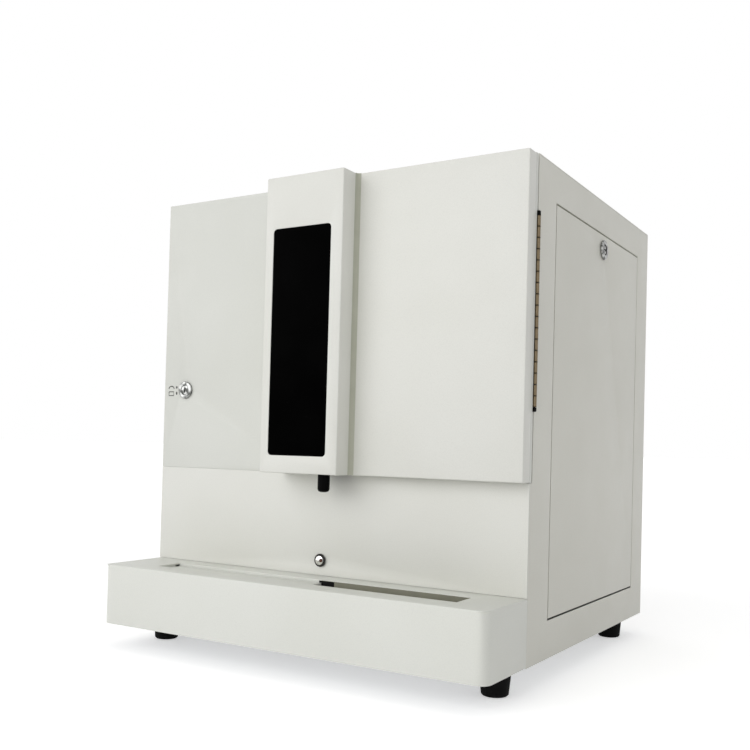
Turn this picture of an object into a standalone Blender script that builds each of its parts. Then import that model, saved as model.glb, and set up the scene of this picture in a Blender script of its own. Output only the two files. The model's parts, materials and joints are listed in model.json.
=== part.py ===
"""Benchtop urine sediment analyzer: sheet-metal cabinet with a hinged front door,
a drop-down service panel, a rack conveyor in the base and a probe lift in the tower.

Lengths are in metres. Cabinet coordinates: x from the left face, y from the front face of
the door (minus y is towards the user), z from the cabinet's bottom. The root empty moves
them so that the part's origin is the middle of its base.
"""
import math

import bmesh
import bpy
from mathutils import Matrix, Vector

# Cabinet
CABINET_WIDTH = 0.600
CABINET_HEIGHT = 0.620
CABINET_DEPTH = 0.495
CABINET_SKIRT = 0.0062
SHEET = 0.0015
FIT = 0.0003
OVERRUN = 0.010
MERGE = 0.00001
SEAM = 0.0027
DOOR_BOTTOM_Z = 0.2173
DOOR_JOINT = 0.0005
DOOR_PAN_DEPTH = 0.0064
EDGE_RADIUS = 0.002
PAN_WALL_HEIGHT = 0.020
POST_WIDTH = 0.018
POST_WALL = 0.002
POST_INSET = 0.0036
FRAME_BORDER = 0.030
FRAME_TOP_BORDER = 0.020
FRAME_SILL = 0.0127
RAIL_HEIGHT = 0.010

# Base with the rack slot
BASE_REACH = 0.112
BASE_TOP_Z = 0.078
BASE_DROP = 0.0052
BASE_WALL = 0.002
BASE_REAR_Y = 0.0027
BASE_CORNER_RADIUS = 0.015
SLOT_LEFT_X = 0.071
SLOT_RIGHT_MARGIN = 0.056
SLOT_FRONT_Y = -0.076
SLOT_REAR_Y = -0.0325
SLOT_FLANGE_HEIGHT = 0.035
STAND_HEIGHT = 0.0385
FOOT_TOP_RADIUS = 0.020
FOOT_BOTTOM_RADIUS = 0.0168
FOOT_RIM_RADIUS = 0.002
FOOT_INSET_X = 0.0325
FOOT_FRONT_Y = -0.014
FOOT_REAR_MARGIN = 0.062

# Door: raised panel, tower and window
TOWER_LEFT_X = 0.2305
TOWER_RIGHT_X = 0.356
TOWER_PROUD = 0.054
RAISED_PROUD = 0.021
WINDOW_LEFT_X = 0.244
WINDOW_RIGHT_X = 0.338
WINDOW_BOTTOM_Z = 0.241
WINDOW_TOP_MARGIN = 0.0725
WINDOW_RADIUS = 0.0055
PANE_THICKNESS = 0.002
PANE_LAP = 0.006
DOOR_CUT_LEFT_X = 0.236
DOOR_CUT_RIGHT_X = 0.350
DOOR_CUT_BOTTOM_Z = 0.230
DOOR_CUT_TOP_MARGIN = 0.010
GUARD_NOTCH_HALF = 0.0175
HINGE_FLANGE_WIDTH = 0.025

# Piano hinge
HINGE_BOTTOM_Z = 0.309
HINGE_TOP_MARGIN = 0.077
HINGE_KNUCKLES = 17
HINGE_AXIS_OUT = 0.0012
HINGE_KNUCKLE_RADIUS = 0.0025
HINGE_BORE_RADIUS = 0.0014
HINGE_PIN_RADIUS = 0.0011
HINGE_HEAD_HEIGHT = 0.0055
HINGE_HEAD_CHAMFER = 0.001
HINGE_LEAF = 0.0009
HINGE_LEAF_WIDTH = 0.022

# Cam locks
LOCK_X = 0.043
LOCK_Z = 0.334
LOCK_FACE_RADIUS = 0.013
SIDE_LOCK_BACK = 0.1736
SIDE_LOCK_DROP = 0.0209
SIDE_LOCK_FACE_RADIUS = 0.014
LOCK_PROUD = 0.003
LOCK_BARREL_RADIUS = 0.010
LOCK_BORE_RADIUS = 0.0073
LOCK_PLUG_RADIUS = 0.007
LOCK_SINK = 0.0006
LOCK_CHAMFER = 0.001
CAM_GAP = 0.0003
LOCK_BARREL_REACH = 0.0135
SIDE_LOCK_BARREL_REACH = 0.0034
CAM_THICKNESS = 0.002
CAM_REACH = 0.024
CAM_WIDTH = 0.010
KEY_SLOT_LENGTH = 0.008
KEY_SLOT_WIDTH = 0.0018
KEY_SLOT_DEPTH = 0.003

# Service panel in the right side
PANEL_FRONT_Y = 0.0725
PANEL_REAR_MARGIN = 0.0595
PANEL_BOTTOM_Z = 0.0445
PANEL_TOP_MARGIN = 0.0495
PANEL_GAP = 0.0025
RIM_LAP = 0.0075
RIM_MARGIN = 0.0125
RIM_BOTTOM_Z = 0.060
SERVICE_AXIS_IN = 0.004
SERVICE_AXIS_Z = 0.050
SERVICE_PIN_RADIUS = 0.002
SERVICE_BORE_RADIUS = 0.0023
LUG_HALF = 0.004
LUG_WIDTH = 0.020
LUG_INSET = 0.020
RIM_LUG_WIDTH = 0.012

# Push button
BUTTON_X = 0.299
BUTTON_Z = 0.0988
BUTTON_FACE_RADIUS = 0.009
BUTTON_BARREL_RADIUS = 0.008
BUTTON_BORE_RADIUS = 0.0066
BUTTON_CAP_RADIUS = 0.0063
BUTTON_PROUD = 0.0024
BUTTON_CAP_PROUD = 0.004
BUTTON_BARREL_DEPTH = 0.0145
BUTTON_CAP_DEPTH = 0.010
BUTTON_REAR_WALL = 0.001

# Chassis
BULKHEAD_Y = 0.090
CHASSIS_INSET = 0.025
BULKHEAD_TOP_MARGIN = 0.020
TABLE_TOP_Z = 0.130
TABLE_REAR_MARGIN = 0.025
TABLE_WALL = 0.002

# Probe lift
PROBE_X = 0.3285
PROBE_Y = -0.041
SAMPLER_LEFT_X = 0.262
SAMPLER_RIGHT_X = 0.346
SAMPLER_Y = 0.012
SAMPLER_WALL = 0.002
SAMPLER_BOTTOM_Z = 0.226
SAMPLER_TOP_MARGIN = 0.016
SAMPLER_ARM = 0.008
GUARD_TAB_Z = 0.236
GUARD_TAB_HEIGHT = 0.003
GUARD_TAB_LEFT_X = 0.310
GUARD_TAB_REACH = 0.0085
RAIL_WIDTH = 0.012
RAIL_DEPTH = 0.0077
RAIL_BOTTOM_Z = 0.246
RAIL_TOP_MARGIN = 0.030
LIFT_PULLEY_X = 0.283
LIFT_TOP_MARGIN = 0.054
LIFT_BOTTOM_Z = 0.262
LIFT_PULLEY_RADIUS = 0.008
LIFT_FLANGE_RADIUS = 0.0105
LIFT_PULLEY_FRONT_Y = -0.002
PULLEY_WIDTH = 0.008
PULLEY_FLANGE = 0.0008
BELT_THICKNESS = 0.0015
SHAFT_RADIUS = 0.0025
SHAFT_HOLE_RADIUS = 0.0035
PIN_RADIUS = 0.003
PIN_OVERHANG = 0.0005
MOTOR_WIDTH = 0.042
LIFT_MOTOR_DEPTH = 0.034
CARRIAGE_LEFT_X = 0.312
CARRIAGE_RIGHT_X = 0.344
CARRIAGE_FRONT_Y = -0.049
CARRIAGE_BOTTOM_Z = 0.400
CARRIAGE_HEIGHT = 0.050
CARRIAGE_CLAMP_HEIGHT = 0.012
CARRIAGE_CLAMP_DEPTH = 0.005
NEEDLE_RADIUS = 0.001
NEEDLE_TIP_Z = 0.197
NEEDLE_HUB_RADIUS = 0.004
NEEDLE_HUB_HEIGHT = 0.020
GUARD_RADIUS = 0.008
GUARD_BORE_RADIUS = 0.0025
GUARD_BOTTOM_Z = 0.1945
GUARD_ROUND = 0.004

# Rack conveyor
RACK_LEFT_X = 0.073
RACK_RIGHT_X = 0.324
RACK_TOP_Z = 0.074
RACK_BOTTOM_Z = 0.055
RACK_SIDE_GAP = 0.0005
ROD_RADIUS = 0.004
ROD_FRONT_Y = -0.066
ROD_REAR_Y = -0.043
ROD_Z = 0.042
ROD_END_INSET = 0.008
ROD_BLOCK_LEFT_X = 0.006
ROD_BLOCK_WIDTH = 0.020
ROD_BLOCK_TOP_Z = 0.056
STRIP_WIDTH = 0.010
BEARING_INSET = 0.012
BEARING_WIDTH = 0.030
BEARING_BOTTOM_Z = 0.032
CLAMP_WIDTH = 0.016
CONVEYOR_IDLER_X = 0.045
CONVEYOR_Z = 0.0141
CONVEYOR_RADIUS = 0.009
CONVEYOR_FLANGE_RADIUS = 0.0115
CONVEYOR_FRONT_Y = -0.060
CONVEYOR_WIDTH = 0.010
CONVEYOR_MOTOR_WIDTH = 0.035
CONVEYOR_MOTOR_FRONT_Y = -0.030
IDLER_BRACKET_WIDTH = 0.014
IDLER_BRACKET_TOP_Z = 0.0238
IDLER_BRACKET_WALL = 0.002
IDLER_BRACKET_GAP = 0.002

# Microscope on the inner table
STAND_LEFT_MARGIN = 0.270
STAND_RIGHT_MARGIN = 0.100
STAND_FRONT_Y = 0.150
STAND_REAR_Y = 0.330
STAND_FOOT_HEIGHT = 0.030
COLUMN_WIDTH = 0.040
COLUMN_FRONT_Y = 0.200
COLUMN_REAR_Y = 0.280
COLUMN_TOP_Z = 0.420
TUBE_MARGIN = 0.170
TUBE_RADIUS = 0.016
TUBE_BOTTOM_Z = 0.300
TUBE_TOP_Z = 0.360
TUBE_ARM_BOTTOM_Z = 0.320
TUBE_ARM_HEIGHT = 0.024
OBJECTIVE_RADIUS = 0.012
OBJECTIVE_NOSE_RADIUS = 0.005
OBJECTIVE_HEIGHT = 0.032
OBJECTIVE_NOSE_HEIGHT = 0.008
CAMERA_HALF = 0.022
CAMERA_HEIGHT = 0.045
STAGE_RIGHT_MARGIN = 0.120
STAGE_BOTTOM_Z = 0.240
STAGE_HEIGHT = 0.010
STAGE_HOLE_RADIUS = 0.010
FLOW_CELL_HALF_X = 0.038
FLOW_CELL_HALF_Y = 0.013
FLOW_CELL_HEIGHT = 0.003
LAMP_RADIUS = 0.018
LAMP_BOTTOM_Z = 0.175
LAMP_HEIGHT = 0.045
LAMP_ARM_HEIGHT = 0.012

# Syringe pump
SYRINGE_OFFSET = 0.104
SYRINGE_HALF_WIDTH = 0.030
SYRINGE_DRIVE_FRONT_Y = 0.050
SYRINGE_BOTTOM_Z = 0.300
SYRINGE_TOP_Z = 0.470
BARREL_RADIUS = 0.007
BARREL_BORE_RADIUS = 0.0055
BARREL_BOTTOM_Z = 0.380
BARREL_TOP_Z = 0.460
PISTON_RADIUS = 0.0052
PISTON_ROD_RADIUS = 0.0025
PISTON_TOP_Z = 0.450
PISTON_HEIGHT = 0.006
PLUNGER_HEAD_RADIUS = 0.0065
PLUNGER_BOTTOM_Z = 0.340
PLUNGER_HEAD_HEIGHT = 0.003

# Power supply, fan, inlet and switch
SUPPLY_LEFT_MARGIN = 0.220
SUPPLY_RIGHT_MARGIN = 0.060
SUPPLY_FRONT_MARGIN = 0.295
SUPPLY_REAR_MARGIN = 0.095
SUPPLY_HEIGHT = 0.050
FAN_X = 0.120
FAN_TOP_MARGIN = 0.160
FAN_HALF = 0.060
FAN_DEPTH = 0.025
FAN_BORE_RADIUS = 0.056
FAN_HUB_RADIUS = 0.018
FAN_TIP_RADIUS = 0.053
FAN_BLADE_THICKNESS = 0.002
FAN_BLADE_DEPTH = 0.012
FAN_BLADES = 7
FAN_SPOKE_WIDTH = 0.006
FAN_SPOKE_DEPTH = 0.003
GRILLE_SLOT_HEIGHT = 0.005
GRILLE_PITCH = 0.010
GRILLE_SLOTS = 10
VENT_LEFT_X = 0.240
VENT_RIGHT_MARGIN = 0.180
VENT_BOTTOM_Z = 0.150
VENT_SLOTS = 8
INLET_MARGIN = 0.100
INLET_Z = 0.060
INLET_HALF_WIDTH = 0.016
INLET_HALF_HEIGHT = 0.031
INLET_FLANGE = 0.005
INLET_PROUD = 0.003
INLET_BODY_DEPTH = 0.022
SOCKET_HALF_WIDTH = 0.0125
SOCKET_HALF_HEIGHT = 0.009
SOCKET_DROP = 0.014
SOCKET_DEPTH = 0.016
SOCKET_PIN_HALF = 0.001
SOCKET_PIN_REACH = 0.012
SOCKET_PIN_SPREAD = 0.007
SWITCH_RISE = 0.016
SWITCH_RADIUS = 0.008
SWITCH_HALF_WIDTH = 0.006
SWITCH_AXIS_IN = 0.003
SWITCH_BAR_HALF = 0.0015
SWITCH_BAR_RISE = 0.0015

# Counts and shares
FINE_STEPS = 32
PLAIN_STEPS = 24
SMALL_STEPS = 12
BEVEL_STEPS = 2
CORNER_STEPS = 5
HALF_SHARE = 0.5
ALIGNED_SHARE = 0.9

# Colours (linear) and finishes
COAT_COLOR = (0.66, 0.67, 0.61)
BASE_COLOR = (0.62, 0.63, 0.57)
ZINC_COLOR = (0.52, 0.53, 0.54)
STEEL_COLOR = (0.60, 0.60, 0.60)
CHROME_COLOR = (0.78, 0.78, 0.78)
BRONZE_COLOR = (0.22, 0.13, 0.07)
BLACK_COLOR = (0.01, 0.01, 0.01)
RUBBER_COLOR = (0.015, 0.015, 0.015)
DARK_COLOR = (0.03, 0.03, 0.035)
WHITE_COLOR = (0.80, 0.80, 0.78)
GLASS_COLOR = (0.75, 0.82, 0.85)

# Places worked out from the sizes above
DOOR_TOP_Z = CABINET_HEIGHT - SHEET
SHELL_FRONT_Y = DOOR_PAN_DEPTH + SEAM
WINDOW_TOP_Z = CABINET_HEIGHT - WINDOW_TOP_MARGIN
DOOR_CUT_TOP_Z = CABINET_HEIGHT - DOOR_CUT_TOP_MARGIN
HINGE_TOP_Z = CABINET_HEIGHT - HINGE_TOP_MARGIN
PANEL_TOP_Z = CABINET_HEIGHT - PANEL_TOP_MARGIN
PANEL_REAR_Y = CABINET_DEPTH - PANEL_REAR_MARGIN
SIDE_LOCK_Y = PANEL_REAR_Y - SIDE_LOCK_BACK
SIDE_LOCK_Z = PANEL_TOP_Z - SIDE_LOCK_DROP
BULKHEAD_TOP_Z = CABINET_HEIGHT - BULKHEAD_TOP_MARGIN
TABLE_REAR_Y = CABINET_DEPTH - TABLE_REAR_MARGIN
SAMPLER_TOP_Z = CABINET_HEIGHT - SAMPLER_TOP_MARGIN
RAIL_TOP_Z = CABINET_HEIGHT - RAIL_TOP_MARGIN
LIFT_TOP_Z = CABINET_HEIGHT - LIFT_TOP_MARGIN
FAN_Z = CABINET_HEIGHT - FAN_TOP_MARGIN
FOOT_REAR_Y = CABINET_DEPTH - FOOT_REAR_MARGIN
SLOT_RIGHT_X = CABINET_WIDTH - SLOT_RIGHT_MARGIN
CONVEYOR_DRIVE_X = CABINET_WIDTH - CONVEYOR_IDLER_X
STAND_LEFT_X = CABINET_WIDTH - STAND_LEFT_MARGIN
STAND_RIGHT_X = CABINET_WIDTH - STAND_RIGHT_MARGIN
TUBE_X = CABINET_WIDTH - TUBE_MARGIN
STAGE_RIGHT_X = CABINET_WIDTH - STAGE_RIGHT_MARGIN
SYRINGE_X = SAMPLER_RIGHT_X + SYRINGE_OFFSET
SUPPLY_LEFT_X = CABINET_WIDTH - SUPPLY_LEFT_MARGIN
SUPPLY_RIGHT_X = CABINET_WIDTH - SUPPLY_RIGHT_MARGIN
SUPPLY_FRONT_Y = CABINET_DEPTH - SUPPLY_FRONT_MARGIN
SUPPLY_REAR_Y = CABINET_DEPTH - SUPPLY_REAR_MARGIN
INLET_X = CABINET_WIDTH - INLET_MARGIN
VENT_RIGHT_X = CABINET_WIDTH - VENT_RIGHT_MARGIN
SHELL_TOP_Z = DOOR_TOP_Z - FIT
LOWER_TOP_Z = DOOR_BOTTOM_Z - DOOR_JOINT
SIDE_FRONT_Y = BASE_REAR_Y + FIT
INNER_LEFT_X = SHEET + FIT
INNER_RIGHT_X = CABINET_WIDTH - SHEET - FIT
INNER_REAR_Y = CABINET_DEPTH - SHEET - FIT
HINGE_AXIS_X = CABINET_WIDTH + HINGE_AXIS_OUT
HINGE_AXIS_Y = DOOR_PAN_DEPTH + SEAM * HALF_SHARE
HINGE_RELIEF = HINGE_KNUCKLE_RADIUS + FIT
HINGE_LEAF_RIGHT_X = HINGE_AXIS_X - HINGE_RELIEF
SERVICE_AXIS_X = CABINET_WIDTH - SERVICE_AXIS_IN
BULKHEAD_REAR_Y = BULKHEAD_Y + SHEET
LIFT_PULLEY_Y = LIFT_PULLEY_FRONT_Y + PULLEY_WIDTH * HALF_SHARE
CONVEYOR_Y = CONVEYOR_FRONT_Y + CONVEYOR_WIDTH * HALF_SHARE
FLOOR_TOP_Z = SHEET + FIT
BASE_FLOOR_TOP_Z = SHEET - BASE_DROP
SWITCH_Z = INLET_Z + SWITCH_RISE
SOCKET_Z = INLET_Z - SOCKET_DROP
PART_RIGHT_X = HINGE_AXIS_X + HINGE_KNUCKLE_RADIUS
SWITCH_AXIS_Y = CABINET_DEPTH + FIT + INLET_PROUD - SWITCH_AXIS_IN
PART_REAR_Y = SWITCH_AXIS_Y + SWITCH_RADIUS + SWITCH_BAR_RISE
ORIGIN_X = PART_RIGHT_X * HALF_SHARE
ORIGIN_Y = (PART_REAR_Y - BASE_REACH) * HALF_SHARE

AXES = {"X": 0, "Y": 1, "Z": 2}
# Turn that brings a turned piece's own +Z to the way it faces
FACINGS = {
    "+X": Matrix.Rotation(math.radians(90), 4, "Y"),
    "-X": Matrix.Rotation(math.radians(-90), 4, "Y"),
    "-Y": Matrix.Rotation(math.radians(90), 4, "X"),
    "+Y": Matrix.Rotation(math.radians(-90), 4, "X"),
    "+Z": Matrix.Identity(4),
    "-Z": Matrix.Rotation(math.radians(180), 4, "X"),
}


# Scene and helpers

def clear_scene():
    for ob in list(bpy.data.objects):
        bpy.data.objects.remove(ob, do_unlink=True)


def new_collection(name):
    collection = bpy.data.collections.new(name)
    bpy.context.scene.collection.children.link(collection)
    return collection


clear_scene()
PARTS = new_collection("urine_sediment_analyzer")
CUTTERS = new_collection("cutters")
ROOT = bpy.data.objects.new("cabinet_origin", None)
PARTS.objects.link(ROOT)
ROOT.location = (-ORIGIN_X, -ORIGIN_Y, STAND_HEIGHT)


def material(name, color, roughness, metallic=0.0, alpha=1.0):
    """A Principled material with one colour and finish."""
    made = bpy.data.materials.new(name)
    made.use_nodes = True
    shader = made.node_tree.nodes["Principled BSDF"]
    shader.inputs["Base Color"].default_value = (*color, 1.0)
    shader.inputs["Roughness"].default_value = roughness
    shader.inputs["Metallic"].default_value = metallic
    shader.inputs["Alpha"].default_value = alpha
    made.diffuse_color = (*color, alpha)
    return made


def coated(name, color=COAT_COLOR):
    return material(name, color, roughness=0.45)


def metal(name, color=STEEL_COLOR, roughness=0.3):
    return material(name, color, roughness, metallic=1.0)


def plastic(name, color=BLACK_COLOR, roughness=0.4):
    return material(name, color, roughness)


def link(name, mesh, at=(0.0, 0.0, 0.0)):
    """An object of the part, placed in cabinet coordinates."""
    ob = bpy.data.objects.new(name, mesh)
    PARTS.objects.link(ob)
    ob.parent = ROOT
    ob.location = at
    return ob


def add_cube(bm, low, high, around):
    """Adds a block between two corners to a mesh whose origin is at `around`."""
    low, high, around = Vector(low), Vector(high), Vector(around)
    middle = (low + high) * HALF_SHARE - around
    shape = Matrix.Translation(middle) @ Matrix.Diagonal((high - low).to_4d())
    bmesh.ops.create_cube(bm, size=1.0, matrix=shape)


def blocks(name, spans):
    """One object of one or more blocks, each given as (x0, x1, y0, y1, z0, z1)."""
    x0, x1, y0, y1, z0, z1 = spans[0]
    at = Vector((x0 + x1, y0 + y1, z0 + z1)) * HALF_SHARE
    bm = bmesh.new()
    for x0, x1, y0, y1, z0, z1 in spans:
        add_cube(bm, (x0, y0, z0), (x1, y1, z1), at)
    mesh = bpy.data.meshes.new(name)
    bm.to_mesh(mesh)
    bm.free()
    return link(name, mesh, at)


def block(name, x0, x1, y0, y1, z0, z1):
    return blocks(name, [(x0, x1, y0, y1, z0, z1)])


def rods(name, facing, places, radius, length, steps=PLAIN_STEPS):
    """One object of one or more cylinders that start at each place and run the way they face."""
    at = Vector(places[0])
    bm = bmesh.new()
    for place in places:
        start = Matrix.Translation(Vector(place) - at)
        lift = Matrix.Translation((0.0, 0.0, length * HALF_SHARE))
        bmesh.ops.create_cone(
            bm, cap_ends=True, segments=steps, radius1=radius, radius2=radius,
            depth=length, matrix=start @ FACINGS[facing] @ lift)
    mesh = bpy.data.meshes.new(name)
    bm.to_mesh(mesh)
    bm.free()
    smooth(mesh)
    return link(name, mesh, at)


def rod(name, facing, place, radius, length, steps=PLAIN_STEPS):
    return rods(name, facing, [place], radius, length, steps)


def smooth(mesh):
    mesh.shade_smooth()
    mesh.set_sharp_from_angle(angle=math.radians(35))


def turned(name, facing, place, profile, steps=FINE_STEPS):
    """A turned piece: profile points are (radius, height), down its outer side first."""
    count = len(profile)
    ring = all(radius > 0 for radius, height in profile)
    last = count if ring else count - 1
    mesh = bpy.data.meshes.new(name)
    mesh.from_pydata(
        [(radius, 0.0, height) for radius, height in profile],
        [(i, (i + 1) % count) for i in range(last)], [])
    ob = link(name, mesh, place)
    ob.rotation_euler = FACINGS[facing].to_euler()
    screw = ob.modifiers.new("turn", "SCREW")
    screw.axis = "Z"
    screw.steps = steps
    screw.render_steps = steps
    screw.use_merge_vertices = True
    screw.merge_threshold = MERGE
    screw.use_smooth_shade = False
    return ob


def outline(name, facing, place, loops, thickness):
    """A flat piece: closed loops of points, the outer one first, made thick the way it faces."""
    curve = bpy.data.curves.new(name + "_outline", "CURVE")
    curve.dimensions = "2D"
    curve.fill_mode = "BOTH"
    curve.extrude = thickness * HALF_SHARE
    for points in loops:
        spline = curve.splines.new("POLY")
        spline.points.add(len(points) - 1)
        for point, (u, v) in zip(spline.points, points):
            point.co = (u, v, 0.0, 1.0)
        spline.use_cyclic_u = True
    drawn = bpy.data.objects.new(name + "_outline", curve)
    CUTTERS.objects.link(drawn)
    bpy.context.view_layer.update()
    graph = bpy.context.evaluated_depsgraph_get()
    mesh = bpy.data.meshes.new_from_object(drawn.evaluated_get(graph))
    bpy.data.objects.remove(drawn, do_unlink=True)
    bm = bmesh.new()
    bm.from_mesh(mesh)
    bmesh.ops.remove_doubles(bm, verts=bm.verts, dist=MERGE)
    bmesh.ops.recalc_face_normals(bm, faces=bm.faces)
    bm.to_mesh(mesh)
    bm.free()
    mesh.name = name
    ob = link(name, mesh, place)
    ob.rotation_euler = FACINGS[facing].to_euler()
    return ob


def soften(ob, radius, chosen, steps=BEVEL_STEPS):
    """Rounds the edges that `chosen` picks by their middle and direction."""
    mesh = ob.data
    weights = mesh.attributes.new("bevel_weight_edge", "FLOAT", "EDGE")
    for edge in mesh.edges:
        start, end = (mesh.vertices[i].co for i in edge.vertices)
        middle = (start + end) * HALF_SHARE
        weights.data[edge.index].value = float(chosen(middle, (end - start).normalized()))
    bevel = ob.modifiers.new("rounding", "BEVEL")
    bevel.width = radius
    bevel.segments = steps
    bevel.limit_method = "WEIGHT"
    return ob


def along(axis):
    """Picks the edges that run along an axis."""
    index = AXES[axis]
    return lambda middle, way: abs(way[index]) > ALIGNED_SHARE


def front_and_sides(middle, way):
    """Picks a tray's front edges and the four that run back from them."""
    return middle.y < MERGE


def combine(ob, operation, tools):
    for tool in tools:
        step = ob.modifiers.new(operation.lower(), "BOOLEAN")
        step.operation = operation
        step.solver = "EXACT"
        step.object = tool
        PARTS.objects.unlink(tool)
        CUTTERS.objects.link(tool)
        tool.hide_render = True
        tool.display_type = "WIRE"
    return ob


def cut(ob, *tools):
    return combine(ob, "DIFFERENCE", tools)


def unite(ob, *tools):
    return combine(ob, "UNION", tools)


def paint(ob, finish):
    ob.data.materials.clear()
    ob.data.materials.append(finish)
    return ob


def carry(name, point, pieces):
    """Hangs the pieces of a moving body on an empty that stands on its joint's axis."""
    pivot = bpy.data.objects.new(name, None)
    PARTS.objects.link(pivot)
    pivot.parent = ROOT
    pivot.location = point
    for piece in pieces:
        piece.parent = pivot
        piece.location = piece.location - pivot.location
    return pivot


def arc(center, radius, start, end, steps):
    """Points of an arc, ends included, angles in degrees."""
    points = []
    for i in range(steps + 1):
        angle = math.radians(start + (end - start) * i / steps)
        points.append((center[0] + radius * math.cos(angle), center[1] + radius * math.sin(angle)))
    return points


def belt(name, place, upper, lower, radius, width):
    """A belt round two pulleys of one radius; centres are (x, z) from the belt's place."""
    tilt = math.degrees(math.atan2(upper[1] - lower[1], upper[0] - lower[0]))
    loops = []
    for reach in (radius + FIT + BELT_THICKNESS, radius + FIT):
        loops.append(
            arc(upper, reach, tilt - 90, tilt + 90, SMALL_STEPS)
            + arc(lower, reach, tilt + 90, tilt + 270, SMALL_STEPS))
    return outline(name, "-Y", place, loops, width)


def pulley(name, place, radius, flange, width, bore=None, shaft=None):
    """A flanged belt pulley facing the user, with a bore or with a shaft behind it."""
    groove = [
        (flange, width),
        (flange, width - PULLEY_FLANGE),
        (radius, width - PULLEY_FLANGE),
        (radius, PULLEY_FLANGE),
        (flange, PULLEY_FLANGE),
        (flange, 0.0),
    ]
    if bore:
        profile = groove + [(bore, 0.0), (bore, width)]
    else:
        profile = [(0.0, width)] + groove + [
            (SHAFT_RADIUS, 0.0), (SHAFT_RADIUS, -shaft), (0.0, -shaft)]
    return turned(name, "-Y", place, profile, steps=PLAIN_STEPS)


# Cabinet shell

def box_tray(name, x0, x1, y0, y1, z0, z1, wall, opens):
    """A tray with one open side: 'up', 'down' or 'back'."""
    tray = block(name, x0, x1, y0, y1, z0, z1)
    rear = y1 + OVERRUN if opens == "back" else y1 - wall
    low = z0 - OVERRUN if opens == "down" else z0 + wall
    high = z1 + OVERRUN if opens == "up" else z1 - wall
    hollow = block(name + "_hollow", x0 + wall, x1 - wall, y0 + wall, rear, low, high)
    return tray, hollow


def side_panel(name, x0):
    """A side wall whose upper front edge steps back behind the door."""
    panel = block(name, x0, x0 + SHEET, SIDE_FRONT_Y, CABINET_DEPTH, -CABINET_SKIRT,
                  SHELL_TOP_Z)
    step = block(name + "_step", x0 - OVERRUN, x0 + SHEET + OVERRUN, -OVERRUN, SHELL_FRONT_Y,
                 LOWER_TOP_Z, CABINET_HEIGHT + OVERRUN)
    return cut(panel, step)


def build_right_side(coat):
    """The right wall round the service opening, with the rim and lugs behind its panel."""
    wall_x = CABINET_WIDTH - SHEET
    rim_x = wall_x - FIT
    front, rear = PANEL_FRONT_Y - RIM_MARGIN, PANEL_REAR_Y + RIM_MARGIN
    wall = side_panel("right_side_frame", wall_x)
    rim = block("rim", rim_x - SHEET, wall_x + SHEET * HALF_SHARE, front, rear, RIM_BOTTOM_Z,
                PANEL_TOP_Z + RIM_MARGIN)
    recess = block("panel_recess", rim_x, CABINET_WIDTH + OVERRUN,
                   PANEL_FRONT_Y - PANEL_GAP, PANEL_REAR_Y + PANEL_GAP,
                   PANEL_BOTTOM_Z - PANEL_GAP, PANEL_TOP_Z + PANEL_GAP)
    opening = block("service_opening", rim_x - SHEET - OVERRUN, rim_x + OVERRUN,
                    PANEL_FRONT_Y + RIM_LAP, PANEL_REAR_Y - RIM_LAP, RIM_BOTTOM_Z - OVERRUN,
                    PANEL_TOP_Z - RIM_LAP)
    cut(unite(wall, rim), recess, opening, hinge_relief("wall"))
    lug_x = SERVICE_AXIS_X - LUG_HALF
    low, high = SERVICE_AXIS_Z - LUG_HALF, RIM_BOTTOM_Z + SHEET
    lugs = blocks("rim_lugs", [
        (lug_x, rim_x, front, front + RIM_LUG_WIDTH, low, high),
        (lug_x, rim_x, rear - RIM_LUG_WIDTH, rear, low, high)])
    bore = axis_rod("rim_bore", front - OVERRUN, rear + OVERRUN, SERVICE_BORE_RADIUS)
    paint(cut(unite(wall, lugs), bore), coat)


def build_sides(coat):
    paint(side_panel("left_side_panel", 0.0), coat)
    build_right_side(coat)
    top = block("top_cover", 0.0, CABINET_WIDTH, SHELL_FRONT_Y, CABINET_DEPTH,
                DOOR_TOP_Z, CABINET_HEIGHT)
    paint(top, coat)


def build_floor_and_rear(coat, zinc):
    pan, hollow = box_tray("floor_pan", INNER_LEFT_X, INNER_RIGHT_X, SIDE_FRONT_Y + FIT,
                           INNER_REAR_Y, 0.0, PAN_WALL_HEIGHT, SHEET, "up")
    paint(cut(pan, hollow), zinc)
    rear = block("rear_panel", INNER_LEFT_X, INNER_RIGHT_X, CABINET_DEPTH - SHEET,
                 CABINET_DEPTH, -CABINET_SKIRT, SHELL_TOP_Z)
    y0, y1 = CABINET_DEPTH - SHEET - OVERRUN, CABINET_DEPTH + OVERRUN
    slots = []
    for i in range(GRILLE_SLOTS):
        rise = (i - (GRILLE_SLOTS - 1) * HALF_SHARE) * GRILLE_PITCH
        half = math.sqrt(FAN_TIP_RADIUS ** 2 - rise ** 2)
        low = FAN_Z + rise - GRILLE_SLOT_HEIGHT * HALF_SHARE
        slots.append((FAN_X - half, FAN_X + half, y0, y1, low, low + GRILLE_SLOT_HEIGHT))
    for i in range(VENT_SLOTS):
        low = VENT_BOTTOM_Z + i * GRILLE_PITCH
        slots.append((VENT_LEFT_X, VENT_RIGHT_X, y0, y1, low, low + GRILLE_SLOT_HEIGHT))
    inlet_hole = block("inlet_hole", INLET_X - INLET_HALF_WIDTH - FIT,
                       INLET_X + INLET_HALF_WIDTH + FIT, y0, y1,
                       INLET_Z - INLET_HALF_HEIGHT - FIT, INLET_Z + INLET_HALF_HEIGHT + FIT)
    paint(cut(rear, blocks("rear_slots", slots), inlet_hole), coat)


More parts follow.
